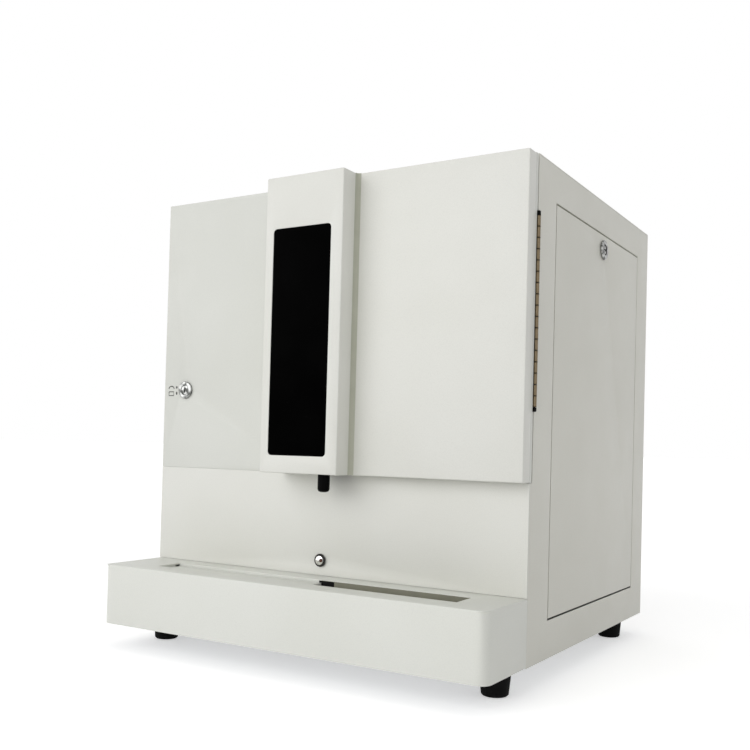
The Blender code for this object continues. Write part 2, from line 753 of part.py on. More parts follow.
def build_frame(zinc):
    """Four corner posts of folded angle, rails at their tops, and the plate the door closes on."""
    plate_rear = SHELL_FRONT_Y + SHEET
    posts_front = plate_rear - SHEET * HALF_SHARE
    posts_rear = INNER_REAR_Y - SHEET - FIT
    left, right = POST_INSET, CABINET_WIDTH - POST_INSET
    outer, inner = [], []
    for x, turn_x in ((left, 1), (right, -1)):
        for y, turn_y in ((posts_front, 1), (posts_rear, -1)):
            xs = sorted((x, x + turn_x * POST_WIDTH))
            ys = sorted((y, y + turn_y * POST_WIDTH))
            outer.append((*xs, *ys, FLOOR_TOP_Z, SHELL_TOP_Z))
            xs = sorted((x + turn_x * POST_WALL, x + turn_x * (POST_WIDTH + OVERRUN)))
            ys = sorted((y + turn_y * POST_WALL, y + turn_y * (POST_WIDTH + OVERRUN)))
            inner.append((*xs, *ys, FLOOR_TOP_Z - OVERRUN, SHELL_TOP_Z + OVERRUN))
    frame = block("corner_frame", INNER_LEFT_X, INNER_RIGHT_X, SHELL_FRONT_Y, plate_rear,
                  DOOR_BOTTOM_Z, SHELL_TOP_Z)
    opening = block("frame_opening", FRAME_BORDER, CABINET_WIDTH - FRAME_BORDER, -OVERRUN,
                    plate_rear + OVERRUN, DOOR_BOTTOM_Z + FRAME_SILL,
                    DOOR_TOP_Z - FRAME_TOP_BORDER)
    posts = cut(blocks("posts", outer), blocks("post_hollows", inner))
    low = SHELL_TOP_Z - RAIL_HEIGHT
    side_rails = blocks("side_rails", [
        (left, left + POST_WALL, posts_front, posts_rear, low, SHELL_TOP_Z),
        (right - POST_WALL, right, posts_front, posts_rear, low, SHELL_TOP_Z)])
    rear_rail = block("rear_rail", left, right, posts_rear - POST_WALL, posts_rear, low,
                      SHELL_TOP_Z)
    paint(unite(cut(frame, opening), posts, side_rails, rear_rail), zinc)


def build_lower_panel(coat):
    panel = block("lower_front_panel", 0.0, CABINET_WIDTH, 0.0, BASE_REAR_Y,
                  BASE_TOP_Z + FIT, LOWER_TOP_Z)
    hole = rod("button_hole", "-Y", (BUTTON_X, BASE_REAR_Y + OVERRUN, BUTTON_Z),
               BUTTON_BARREL_RADIUS + FIT, BASE_REAR_Y + OVERRUN + OVERRUN)
    paint(cut(panel, hole), coat)


def base_edges(radius):
    """Rounds the base's upright front corners fully, its upper front edges by the edge radius."""
    def chosen(middle, way):
        upright = abs(way.z) > ALIGNED_SHARE and middle.y < 0
        upper = middle.z > MERGE and not (middle.y > MERGE and abs(way.x) > ALIGNED_SHARE)
        if upright:
            return 1.0
        return EDGE_RADIUS / radius if upper else 0.0
    return chosen


def front_uprights(middle, way):
    return abs(way.z) > ALIGNED_SHARE and middle.y < 0


def build_base(coat, zinc):
    """The housing round the rack slot, and its floor with the belt's idler pin."""
    housing = block("base_housing", 0.0, CABINET_WIDTH, -BASE_REACH, BASE_REAR_Y,
                    -BASE_DROP, BASE_TOP_Z)
    soften(housing, BASE_CORNER_RADIUS, base_edges(BASE_CORNER_RADIUS), CORNER_STEPS)
    hollow = block("base_hollow", BASE_WALL, CABINET_WIDTH - BASE_WALL, BASE_WALL - BASE_REACH,
                   BASE_REAR_Y + OVERRUN, -BASE_DROP - OVERRUN, BASE_TOP_Z - BASE_WALL)
    soften(hollow, BASE_CORNER_RADIUS - BASE_WALL, front_uprights, CORNER_STEPS)
    slot = block("rack_slot", SLOT_LEFT_X, SLOT_RIGHT_X, SLOT_FRONT_Y, SLOT_REAR_Y,
                 BASE_TOP_Z - BASE_WALL - OVERRUN, BASE_TOP_Z + OVERRUN)
    flange = block("slot_flange", SLOT_LEFT_X, SLOT_RIGHT_X, SLOT_REAR_Y,
                   SLOT_REAR_Y + BASE_WALL, BASE_TOP_Z - SLOT_FLANGE_HEIGHT,
                   BASE_TOP_Z - BASE_WALL * HALF_SHARE)
    paint(unite(cut(housing, hollow, slot), flange), coat)

    inset = BASE_WALL + FIT
    floor = block("base_floor", inset, CABINET_WIDTH - inset, inset - BASE_REACH, BASE_REAR_Y,
                  -BASE_DROP, BASE_FLOOR_TOP_Z)
    soften(floor, BASE_CORNER_RADIUS - inset, front_uprights, CORNER_STEPS)
    half = IDLER_BRACKET_WIDTH * HALF_SHARE
    bracket_y = CONVEYOR_FRONT_Y + CONVEYOR_WIDTH + IDLER_BRACKET_GAP
    bracket = block("idler_bracket", CONVEYOR_IDLER_X - half, CONVEYOR_IDLER_X + half,
                    bracket_y, bracket_y + IDLER_BRACKET_WALL,
                    -BASE_DROP + SHEET * HALF_SHARE, IDLER_BRACKET_TOP_Z)
    pin_start = bracket_y + IDLER_BRACKET_WALL * HALF_SHARE
    pin = rod("idler_pin", "-Y", (CONVEYOR_IDLER_X, pin_start, CONVEYOR_Z), PIN_RADIUS,
              pin_start - CONVEYOR_FRONT_Y + PIN_OVERHANG)
    paint(unite(floor, bracket, pin), zinc)


def build_feet(rubber):
    for place, y, top in (("front", FOOT_FRONT_Y, -BASE_DROP - FIT), ("rear", FOOT_REAR_Y, -FIT)):
        for side, x in (("left", FOOT_INSET_X), ("right", CABINET_WIDTH - FOOT_INSET_X)):
            height = STAND_HEIGHT + top
            foot = turned(f"foot_{place}_{side}", "+Z", (x, y, -STAND_HEIGHT), [
                (0.0, height),
                (FOOT_TOP_RADIUS, height),
                (FOOT_BOTTOM_RADIUS, FOOT_RIM_RADIUS),
                (FOOT_BOTTOM_RADIUS - FOOT_RIM_RADIUS, 0.0),
                (0.0, 0.0),
            ])
            paint(foot, rubber)


# Front door

def hinge_relief(name):
    """The space that the hinge's knuckles and pin heads take in the edge beside them."""
    return block(name + "_hinge_relief", HINGE_LEAF_RIGHT_X, HINGE_AXIS_X + HINGE_RELIEF,
                 HINGE_AXIS_Y - HINGE_RELIEF, HINGE_AXIS_Y + HINGE_RELIEF,
                 HINGE_BOTTOM_Z - HINGE_HEAD_HEIGHT - FIT, HINGE_TOP_Z + HINGE_HEAD_HEIGHT + FIT)


def build_door_skin(coat):
    door, hollow = box_tray("front_door", 0.0, CABINET_WIDTH, 0.0, DOOR_PAN_DEPTH,
                            DOOR_BOTTOM_Z, DOOR_TOP_Z, SHEET, "back")
    cut(door, hollow)
    half = SHEET * HALF_SHARE
    flange = block("hinge_flange", CABINET_WIDTH - HINGE_FLANGE_WIDTH, CABINET_WIDTH - half,
                   DOOR_PAN_DEPTH - SHEET, DOOR_PAN_DEPTH, DOOR_BOTTOM_Z + half,
                   DOOR_TOP_Z - half)
    unite(door, flange)
    tower_opening = block("tower_opening", DOOR_CUT_LEFT_X, DOOR_CUT_RIGHT_X, -OVERRUN,
                          DOOR_PAN_DEPTH + OVERRUN, DOOR_CUT_BOTTOM_Z, DOOR_CUT_TOP_Z)
    guard_way = block("guard_way", PROBE_X - GUARD_NOTCH_HALF, PROBE_X + GUARD_NOTCH_HALF,
                      -OVERRUN, DOOR_PAN_DEPTH + OVERRUN, DOOR_BOTTOM_Z - OVERRUN,
                      DOOR_CUT_BOTTOM_Z + OVERRUN)
    lock_hole = rod("lock_hole", "-Y", (LOCK_X, DOOR_PAN_DEPTH, LOCK_Z),
                    LOCK_BARREL_RADIUS + FIT, DOOR_PAN_DEPTH + OVERRUN)
    return paint(cut(door, tower_opening, guard_way, lock_hole, hinge_relief("door")), coat)


def build_raised_panel(coat):
    panel, hollow = box_tray("raised_panel", TOWER_RIGHT_X + FIT, CABINET_WIDTH, -RAISED_PROUD,
                             -FIT, DOOR_BOTTOM_Z, DOOR_TOP_Z, SHEET, "back")
    soften(panel, EDGE_RADIUS, front_and_sides)
    return paint(cut(panel, hollow), coat)


def rounded_plate(name, x0, x1, y0, y1, z0, z1, radius):
    plate = block(name, x0, x1, y0, y1, z0, z1)
    return soften(plate, radius, along("Y"), CORNER_STEPS)


def build_tower(coat, glass):
    tower, hollow = box_tray("tower_cover", TOWER_LEFT_X, TOWER_RIGHT_X, -TOWER_PROUD, -FIT,
                             DOOR_BOTTOM_Z, DOOR_TOP_Z, SHEET, "back")
    soften(tower, EDGE_RADIUS, front_and_sides)
    window = rounded_plate("window_cut", WINDOW_LEFT_X, WINDOW_RIGHT_X, -TOWER_PROUD - OVERRUN,
                           OVERRUN - TOWER_PROUD, WINDOW_BOTTOM_Z, WINDOW_TOP_Z, WINDOW_RADIUS)
    notch = block("guard_notch", PROBE_X - GUARD_NOTCH_HALF, PROBE_X + GUARD_NOTCH_HALF,
                  SHEET - TOWER_PROUD, OVERRUN, DOOR_BOTTOM_Z - OVERRUN,
                  DOOR_BOTTOM_Z + SHEET + FIT)
    cut(tower, hollow, window, notch)
    rear_face = SHEET + FIT - TOWER_PROUD
    pane = block("tower_window", WINDOW_LEFT_X - PANE_LAP, WINDOW_RIGHT_X + PANE_LAP, rear_face,
                 rear_face + PANE_THICKNESS, WINDOW_BOTTOM_Z - PANE_LAP, WINDOW_TOP_Z + PANE_LAP)
    boss = rounded_plate("window_boss", WINDOW_LEFT_X + FIT, WINDOW_RIGHT_X - FIT,
                         FIT - TOWER_PROUD, rear_face + PANE_THICKNESS * HALF_SHARE,
                         WINDOW_BOTTOM_Z + FIT, WINDOW_TOP_Z - FIT, WINDOW_RADIUS - FIT)
    return [paint(tower, coat), paint(unite(pane, boss), glass)]


def hinge_leaf(name, y0, first):
    """A hinge leaf with every second knuckle, counted from `first`."""
    pitch = (HINGE_TOP_Z - HINGE_BOTTOM_Z) / HINGE_KNUCKLES
    leaf = block(name, CABINET_WIDTH - HINGE_LEAF_WIDTH, HINGE_LEAF_RIGHT_X,
                 y0, y0 + HINGE_LEAF, HINGE_BOTTOM_Z, HINGE_TOP_Z)
    tabs, places = [], []
    for i in range(first, HINGE_KNUCKLES, 2):
        low = HINGE_BOTTOM_Z + i * pitch + FIT * HALF_SHARE
        high = low + pitch - FIT
        tabs.append((HINGE_LEAF_RIGHT_X - SHEET, HINGE_AXIS_X, y0, y0 + HINGE_LEAF, low, high))
        places.append((HINGE_AXIS_X, HINGE_AXIS_Y, low))
    knuckles = rods(name + "_knuckles", "+Z", places, HINGE_KNUCKLE_RADIUS, pitch - FIT,
                    SMALL_STEPS)
    bore = rod(name + "_bore", "+Z", (HINGE_AXIS_X, HINGE_AXIS_Y, HINGE_BOTTOM_Z - OVERRUN),
               HINGE_BORE_RADIUS, HINGE_TOP_Z - HINGE_BOTTOM_Z + OVERRUN + OVERRUN, SMALL_STEPS)
    unite(leaf, blocks(name + "_tabs", tabs), knuckles)
    return cut(leaf, bore)


def build_hinge(brass, steel):
    door_leaf = hinge_leaf("hinge_door_leaf", DOOR_PAN_DEPTH + FIT, 1)
    cabinet_leaf = hinge_leaf("hinge_cabinet_leaf", SHELL_FRONT_Y - FIT - HINGE_LEAF, 0)
    length = HINGE_TOP_Z - HINGE_BOTTOM_Z + FIT
    top, edge = length + HINGE_HEAD_HEIGHT, HINGE_KNUCKLE_RADIUS - HINGE_HEAD_CHAMFER
    pin = turned("hinge_pin", "+Z", (HINGE_AXIS_X, HINGE_AXIS_Y, HINGE_BOTTOM_Z), [
        (0.0, top),
        (edge, top),
        (HINGE_KNUCKLE_RADIUS, top - HINGE_HEAD_CHAMFER),
        (HINGE_KNUCKLE_RADIUS, length),
        (HINGE_PIN_RADIUS, length),
        (HINGE_PIN_RADIUS, -FIT),
        (HINGE_KNUCKLE_RADIUS, -FIT),
        (HINGE_KNUCKLE_RADIUS, HINGE_HEAD_CHAMFER - HINGE_HEAD_HEIGHT),
        (edge, -HINGE_HEAD_HEIGHT),
        (0.0, -HINGE_HEAD_HEIGHT),
    ], SMALL_STEPS)
    paint(cabinet_leaf, brass)
    paint(pin, steel)
    return paint(door_leaf, brass)


def lock_housing(name, facing, place, face_radius, reach, chrome):
    top = LOCK_PROUD + FIT
    housing = turned(name, facing, place, [
        (face_radius - LOCK_CHAMFER, top),
        (face_radius, top - LOCK_CHAMFER),
        (face_radius, FIT),
        (LOCK_BARREL_RADIUS, FIT),
        (LOCK_BARREL_RADIUS, -reach),
        (LOCK_BORE_RADIUS, -reach),
        (LOCK_BORE_RADIUS, top),
    ])
    return paint(housing, chrome)


def lock_plug(name, facing, place, reach, cam, slot, chrome):
    """The turning plug: a cylinder from just under the face to the cam behind the barrel."""
    top = LOCK_PROUD + FIT - LOCK_SINK
    bottom = -reach - CAM_GAP - CAM_THICKNESS
    plug = turned(name, facing, place, [
        (0.0, top),
        (LOCK_PLUG_RADIUS, top),
        (LOCK_PLUG_RADIUS, bottom),
        (0.0, bottom),
    ])
    return paint(cut(unite(plug, cam), slot), chrome)


def build_door_lock(chrome):
    place = (LOCK_X, 0.0, LOCK_Z)
    half = CAM_WIDTH * HALF_SHARE
    cam_y = LOCK_BARREL_REACH + CAM_GAP
    cam = block("door_cam", LOCK_X - half, LOCK_X + half, cam_y, cam_y + CAM_THICKNESS,
                LOCK_Z - CAM_REACH, LOCK_Z + half)
    slot_y = LOCK_SINK - LOCK_PROUD - FIT
    slot = block("door_key_slot", LOCK_X - KEY_SLOT_WIDTH * HALF_SHARE,
                 LOCK_X + KEY_SLOT_WIDTH * HALF_SHARE, slot_y - OVERRUN, slot_y + KEY_SLOT_DEPTH,
                 LOCK_Z - KEY_SLOT_LENGTH * HALF_SHARE, LOCK_Z + KEY_SLOT_LENGTH * HALF_SHARE)
    housing = lock_housing("door_lock_housing", "-Y", place, LOCK_FACE_RADIUS,
                           LOCK_BARREL_REACH, chrome)
    plug = lock_plug("door_lock_plug", "-Y", place, LOCK_BARREL_REACH, cam, slot, chrome)
    return [housing, plug]


def build_service_lock(chrome):
    place = (CABINET_WIDTH, SIDE_LOCK_Y, SIDE_LOCK_Z)
    half = CAM_WIDTH * HALF_SHARE
    cam_x = CABINET_WIDTH - SIDE_LOCK_BARREL_REACH - CAM_GAP
    cam = block("service_cam", cam_x - CAM_THICKNESS, cam_x, SIDE_LOCK_Y - CAM_REACH,
                SIDE_LOCK_Y + half, SIDE_LOCK_Z - half, SIDE_LOCK_Z + half)
    slot_x = CABINET_WIDTH + LOCK_PROUD + FIT - LOCK_SINK
    slot = block("service_key_slot", slot_x - KEY_SLOT_DEPTH, slot_x + OVERRUN,
                 SIDE_LOCK_Y - KEY_SLOT_WIDTH * HALF_SHARE,
                 SIDE_LOCK_Y + KEY_SLOT_WIDTH * HALF_SHARE,
                 SIDE_LOCK_Z - KEY_SLOT_LENGTH * HALF_SHARE,
                 SIDE_LOCK_Z + KEY_SLOT_LENGTH * HALF_SHARE)
    housing = lock_housing("service_lock_housing", "+X", place, SIDE_LOCK_FACE_RADIUS,
                           SIDE_LOCK_BARREL_REACH, chrome)
    plug = lock_plug("service_lock_plug", "+X", place, SIDE_LOCK_BARREL_REACH, cam, slot, chrome)
    return [housing, plug]


def build_door(coat, glass, brass, steel, chrome):
    pieces = [build_door_skin(coat), build_raised_panel(coat), *build_tower(coat, glass),
              build_hinge(brass, steel), *build_door_lock(chrome)]
    carry("front_door_axis", (HINGE_AXIS_X, HINGE_AXIS_Y, DOOR_BOTTOM_Z), pieces)


# Service panel

def axis_rod(name, y0, y1, radius):
    return rod(name, "+Y", (SERVICE_AXIS_X, y0, SERVICE_AXIS_Z), radius, y1 - y0, SMALL_STEPS)


def build_service_panel(coat, steel, chrome):
    panel = block("service_panel", CABINET_WIDTH - SHEET, CABINET_WIDTH, PANEL_FRONT_Y,
                  PANEL_REAR_Y, PANEL_BOTTOM_Z, PANEL_TOP_Z)
    low, high = SERVICE_AXIS_Z - LUG_HALF, SERVICE_AXIS_Z + LUG_HALF
    lug_x = SERVICE_AXIS_X - LUG_HALF
    starts = (PANEL_FRONT_Y + LUG_INSET, PANEL_REAR_Y - LUG_INSET - LUG_WIDTH)
    lugs = blocks("panel_lugs", [
        (lug_x, CABINET_WIDTH - SHEET * HALF_SHARE, y, y + LUG_WIDTH, low, high)
        for y in starts])
    lock_hole = rod("service_lock_hole", "+X",
                    (CABINET_WIDTH - SHEET - OVERRUN, SIDE_LOCK_Y, SIDE_LOCK_Z),
                    LOCK_BARREL_RADIUS + FIT, SHEET + OVERRUN + OVERRUN)
    bore = axis_rod("panel_bore", PANEL_FRONT_Y, PANEL_REAR_Y, SERVICE_BORE_RADIUS)
    paint(cut(unite(panel, lugs), lock_hole, bore), coat)
    pieces = [panel, *build_service_lock(chrome)]
    carry("service_panel_axis", (SERVICE_AXIS_X, PANEL_FRONT_Y, SERVICE_AXIS_Z), pieces)

    pin = axis_rod("service_hinge_pin", PANEL_FRONT_Y - RIM_MARGIN + PIN_OVERHANG,
                   PANEL_REAR_Y + RIM_MARGIN - PIN_OVERHANG, SERVICE_PIN_RADIUS)
    paint(pin, steel)


# Push button

def build_button(chrome, black):
    place = (BUTTON_X, 0.0, BUTTON_Z)
    floor = BUTTON_REAR_WALL - BUTTON_BARREL_DEPTH
    bezel = turned("button_bezel", "-Y", place, [
        (0.0, floor),
        (BUTTON_BORE_RADIUS, floor),
        (BUTTON_BORE_RADIUS, BUTTON_PROUD),
        (BUTTON_FACE_RADIUS - LOCK_CHAMFER, BUTTON_PROUD),
        (BUTTON_FACE_RADIUS, BUTTON_PROUD - LOCK_CHAMFER),
        (BUTTON_FACE_RADIUS, FIT),
        (BUTTON_BARREL_RADIUS, FIT),
        (BUTTON_BARREL_RADIUS, -BUTTON_BARREL_DEPTH),
        (0.0, -BUTTON_BARREL_DEPTH),
    ])
    paint(bezel, chrome)
    cap = turned("button_cap", "-Y", place, [
        (0.0, BUTTON_CAP_PROUD),
        (BUTTON_CAP_RADIUS - LOCK_CHAMFER, BUTTON_CAP_PROUD),
        (BUTTON_CAP_RADIUS, BUTTON_CAP_PROUD - LOCK_CHAMFER),
        (BUTTON_CAP_RADIUS, -BUTTON_CAP_DEPTH),
        (0.0, -BUTTON_CAP_DEPTH),
    ])
    paint(cap, black)


# Chassis and probe lift

def build_chassis(zinc):
    right = CABINET_WIDTH - CHASSIS_INSET
    paint(block("bulkhead", CHASSIS_INSET, right, BULKHEAD_Y, BULKHEAD_REAR_Y, FLOOR_TOP_Z,
                BULKHEAD_TOP_Z), zinc)
    table = block("chassis_table", CHASSIS_INSET, right, BULKHEAD_REAR_Y + FIT, TABLE_REAR_Y,
                  FLOOR_TOP_Z, TABLE_TOP_Z)
    hollow = block("table_hollow", CHASSIS_INSET + TABLE_WALL, right - TABLE_WALL,
                   BULKHEAD_REAR_Y - OVERRUN, TABLE_REAR_Y + OVERRUN, FLOOR_TOP_Z - OVERRUN,
                   TABLE_TOP_Z - TABLE_WALL)
    paint(cut(table, hollow), zinc)


def build_sampler_frame(zinc):
    """Plate with arms to the bulkhead, the rail, the idler's pin and the tab for the guard."""
    rear = SAMPLER_Y + SAMPLER_WALL
    middle = SAMPLER_Y + SAMPLER_WALL * HALF_SHARE
    frame = block("sampler_frame", SAMPLER_LEFT_X, SAMPLER_RIGHT_X, SAMPLER_Y, rear,
                  SAMPLER_BOTTOM_Z, SAMPLER_TOP_Z)
    arms = blocks("sampler_arms", [
        (SAMPLER_LEFT_X, SAMPLER_RIGHT_X, middle, BULKHEAD_Y - FIT, low, low + SAMPLER_ARM)
        for low in (SAMPLER_BOTTOM_Z, SAMPLER_TOP_Z - SAMPLER_ARM)])
    tab = block("guard_tab", GUARD_TAB_LEFT_X, SAMPLER_RIGHT_X, PROBE_Y - GUARD_TAB_REACH,
                middle, GUARD_TAB_Z, GUARD_TAB_Z + GUARD_TAB_HEIGHT)
    pin = rod("lift_idler_pin", "-Y", (LIFT_PULLEY_X, middle, LIFT_BOTTOM_Z), PIN_RADIUS,
              middle - LIFT_PULLEY_FRONT_Y + PIN_OVERHANG)
    way = rod("needle_way", "+Z", (PROBE_X, PROBE_Y, GUARD_TAB_Z - OVERRUN), GUARD_BORE_RADIUS,
              GUARD_TAB_HEIGHT + OVERRUN + OVERRUN, SMALL_STEPS)
    shaft_way = rod("shaft_way", "-Y", (LIFT_PULLEY_X, rear + OVERRUN, LIFT_TOP_Z),
                    SHAFT_HOLE_RADIUS, SAMPLER_WALL + OVERRUN + OVERRUN)
    rail_x = PROBE_X - RAIL_WIDTH * HALF_SHARE
    rail = block("lift_rail", rail_x, rail_x + RAIL_WIDTH, SAMPLER_Y - RAIL_DEPTH, middle,
                 RAIL_BOTTOM_Z, RAIL_TOP_Z)
    paint(cut(unite(frame, arms, tab, pin, rail), way, shaft_way), zinc)


def build_lift(black, rubber, bare):
    motor_y = SAMPLER_Y + SAMPLER_WALL + FIT
    half = MOTOR_WIDTH * HALF_SHARE
    motor = block("z_motor", LIFT_PULLEY_X - half, LIFT_PULLEY_X + half, motor_y,
                  motor_y + LIFT_MOTOR_DEPTH, LIFT_TOP_Z - half, LIFT_TOP_Z + half)
    paint(motor, black)

    rear_y = LIFT_PULLEY_FRONT_Y + PULLEY_WIDTH
    shaft_end = motor_y - FIT - rear_y
    drive = pulley("z_drive_pulley", (LIFT_PULLEY_X, rear_y, LIFT_TOP_Z), LIFT_PULLEY_RADIUS,
                   LIFT_FLANGE_RADIUS, PULLEY_WIDTH, shaft=shaft_end)
    paint(drive, bare)
    idler = pulley("z_idler_pulley", (LIFT_PULLEY_X, rear_y, LIFT_BOTTOM_Z), LIFT_PULLEY_RADIUS,
                   LIFT_FLANGE_RADIUS, PULLEY_WIDTH, bore=PIN_RADIUS + FIT)
    paint(idler, bare)
    margin = PULLEY_FLANGE + FIT
    loop = belt("z_belt", (LIFT_PULLEY_X, LIFT_PULLEY_Y, LIFT_BOTTOM_Z),
                (0.0, LIFT_TOP_Z - LIFT_BOTTOM_Z), (0.0, 0.0), LIFT_PULLEY_RADIUS,
                PULLEY_WIDTH - margin - margin)
    paint(loop, rubber)


def build_probe(grey, steel, black):
    """The carriage on the rail, the needle under it and the guard round the needle's tip."""
    rear = SAMPLER_Y - RAIL_DEPTH - FIT
    clamp_x = LIFT_PULLEY_X + LIFT_PULLEY_RADIUS + FIT + BELT_THICKNESS + FIT
    carriage = block("probe_carriage", CARRIAGE_LEFT_X, CARRIAGE_RIGHT_X, CARRIAGE_FRONT_Y, rear,
                     CARRIAGE_BOTTOM_Z, CARRIAGE_BOTTOM_Z + CARRIAGE_HEIGHT)
    clamp = block("carriage_clamp", clamp_x, CARRIAGE_LEFT_X + OVERRUN,
                  rear - CARRIAGE_CLAMP_DEPTH, rear, CARRIAGE_BOTTOM_Z,
                  CARRIAGE_BOTTOM_Z + CARRIAGE_CLAMP_HEIGHT)
    paint(unite(carriage, clamp), grey)
    hub_top = CARRIAGE_BOTTOM_Z - FIT - NEEDLE_TIP_Z
    hub_bottom = hub_top - NEEDLE_HUB_HEIGHT
    needle = turned("probe_needle", "+Z", (PROBE_X, PROBE_Y, NEEDLE_TIP_Z), [
        (0.0, hub_top),
        (NEEDLE_HUB_RADIUS, hub_top),
        (NEEDLE_HUB_RADIUS, hub_bottom),
        (NEEDLE_RADIUS, hub_bottom),
        (NEEDLE_RADIUS, 0.0),
        (0.0, 0.0),
    ], steps=SMALL_STEPS)
    paint(needle, steel)
    height = GUARD_TAB_Z - FIT - GUARD_BOTTOM_Z
    rounding = arc((GUARD_RADIUS - GUARD_ROUND, GUARD_ROUND), GUARD_ROUND, 0, -90, BEVEL_STEPS)
    guard = turned("probe_guard", "+Z", (PROBE_X, PROBE_Y, GUARD_BOTTOM_Z), [
        (GUARD_RADIUS, height),
        *rounding,
        (GUARD_BORE_RADIUS, 0.0),
        (GUARD_BORE_RADIUS, height),
    ])
    paint(guard, black)


# Rack conveyor

def build_conveyor(coat, steel, zinc, black, rubber, bare):
    front = SLOT_FRONT_Y + RACK_SIDE_GAP
    rear = SLOT_REAR_Y - RACK_SIDE_GAP
    tray, hollow = box_tray("rack_carriage", RACK_LEFT_X, RACK_RIGHT_X, front, rear,
                            RACK_BOTTOM_Z, RACK_TOP_Z, BASE_WALL, "down")
    paint(cut(tray, hollow), coat)

    bearing_top = RACK_BOTTOM_Z - FIT
    starts = (RACK_LEFT_X + BEARING_INSET, RACK_RIGHT_X - BEARING_INSET - BEARING_WIDTH)
    spans = [(x, x + BEARING_WIDTH, front, rear, BEARING_BOTTOM_Z, bearing_top) for x in starts]
    belt_top = CONVEYOR_Z + CONVEYOR_RADIUS + FIT + BELT_THICKNESS
    middle_x = (RACK_LEFT_X + RACK_RIGHT_X) * HALF_SHARE
    half = CLAMP_WIDTH * HALF_SHARE
    bearings = blocks("carriage_bearings", spans)
    spine = block("bearing_spine", starts[0], starts[1] + BEARING_WIDTH, CONVEYOR_FRONT_Y,
                  CONVEYOR_FRONT_Y + CONVEYOR_WIDTH, bearing_top - BASE_WALL - BASE_WALL,
                  bearing_top)
    clamp = block("belt_clamp", middle_x - half, middle_x + half, CONVEYOR_FRONT_Y,
                  CONVEYOR_FRONT_Y + CONVEYOR_WIDTH, belt_top + FIT, bearing_top - BASE_WALL)
    bores = rods("bearing_bores", "+X",
                 [(RACK_LEFT_X - OVERRUN, y, ROD_Z) for y in (ROD_FRONT_Y, ROD_REAR_Y)],
                 ROD_RADIUS + FIT, RACK_RIGHT_X - RACK_LEFT_X + OVERRUN + OVERRUN)
    paint(cut(unite(bearings, spine, clamp), bores), black)

    rod_ends = (ROD_END_INSET, CABINET_WIDTH - ROD_END_INSET)
    for name, y in (("guide_rod_front", ROD_FRONT_Y), ("guide_rod_rear", ROD_REAR_Y)):
        paint(rod(name, "+X", (rod_ends[0], y, ROD_Z), ROD_RADIUS, rod_ends[1] - rod_ends[0]),
              steel)
    starts = (ROD_BLOCK_LEFT_X, CABINET_WIDTH - ROD_BLOCK_LEFT_X - ROD_BLOCK_WIDTH)
    bottom = BASE_FLOOR_TOP_Z + FIT
    supports = blocks("rod_supports", [
        (x, x + ROD_BLOCK_WIDTH, SLOT_FRONT_Y, SLOT_REAR_Y, bottom, ROD_BLOCK_TOP_Z)
        for x in starts])
    strip = block("support_strip", starts[0], starts[1] + ROD_BLOCK_WIDTH, SLOT_FRONT_Y,
                  SLOT_FRONT_Y + STRIP_WIDTH, bottom, bottom + BASE_WALL)
    bores = rods("rod_bores", "+X", [(-OVERRUN, y, ROD_Z) for y in (ROD_FRONT_Y, ROD_REAR_Y)],
                 ROD_RADIUS + FIT, CABINET_WIDTH + OVERRUN + OVERRUN)
    paint(cut(unite(supports, strip), bores), zinc)

    half = CONVEYOR_MOTOR_WIDTH * HALF_SHARE
    motor = block("conveyor_motor", CONVEYOR_DRIVE_X - half, CONVEYOR_DRIVE_X + half,
                  CONVEYOR_MOTOR_FRONT_Y, BASE_REAR_Y - FIT, bottom,
                  bottom + CONVEYOR_MOTOR_WIDTH)
    paint(motor, black)
    rear_y = CONVEYOR_FRONT_Y + CONVEYOR_WIDTH
    shaft_end = CONVEYOR_MOTOR_FRONT_Y - FIT - rear_y
    drive = pulley("conveyor_drive_pulley", (CONVEYOR_DRIVE_X, rear_y, CONVEYOR_Z),
                   CONVEYOR_RADIUS, CONVEYOR_FLANGE_RADIUS, CONVEYOR_WIDTH,
                   shaft=shaft_end)
    paint(drive, bare)
    idler = pulley("conveyor_idler_pulley", (CONVEYOR_IDLER_X, rear_y, CONVEYOR_Z),
                   CONVEYOR_RADIUS, CONVEYOR_FLANGE_RADIUS, CONVEYOR_WIDTH,
                   bore=PIN_RADIUS + FIT)
    paint(idler, bare)
    margin = PULLEY_FLANGE + FIT
    loop = belt("conveyor_belt", (CONVEYOR_IDLER_X, CONVEYOR_Y, CONVEYOR_Z),
                (CONVEYOR_DRIVE_X - CONVEYOR_IDLER_X, 0.0), (0.0, 0.0), CONVEYOR_RADIUS,
                CONVEYOR_WIDTH - margin - margin)
    paint(loop, rubber)


# Microscope

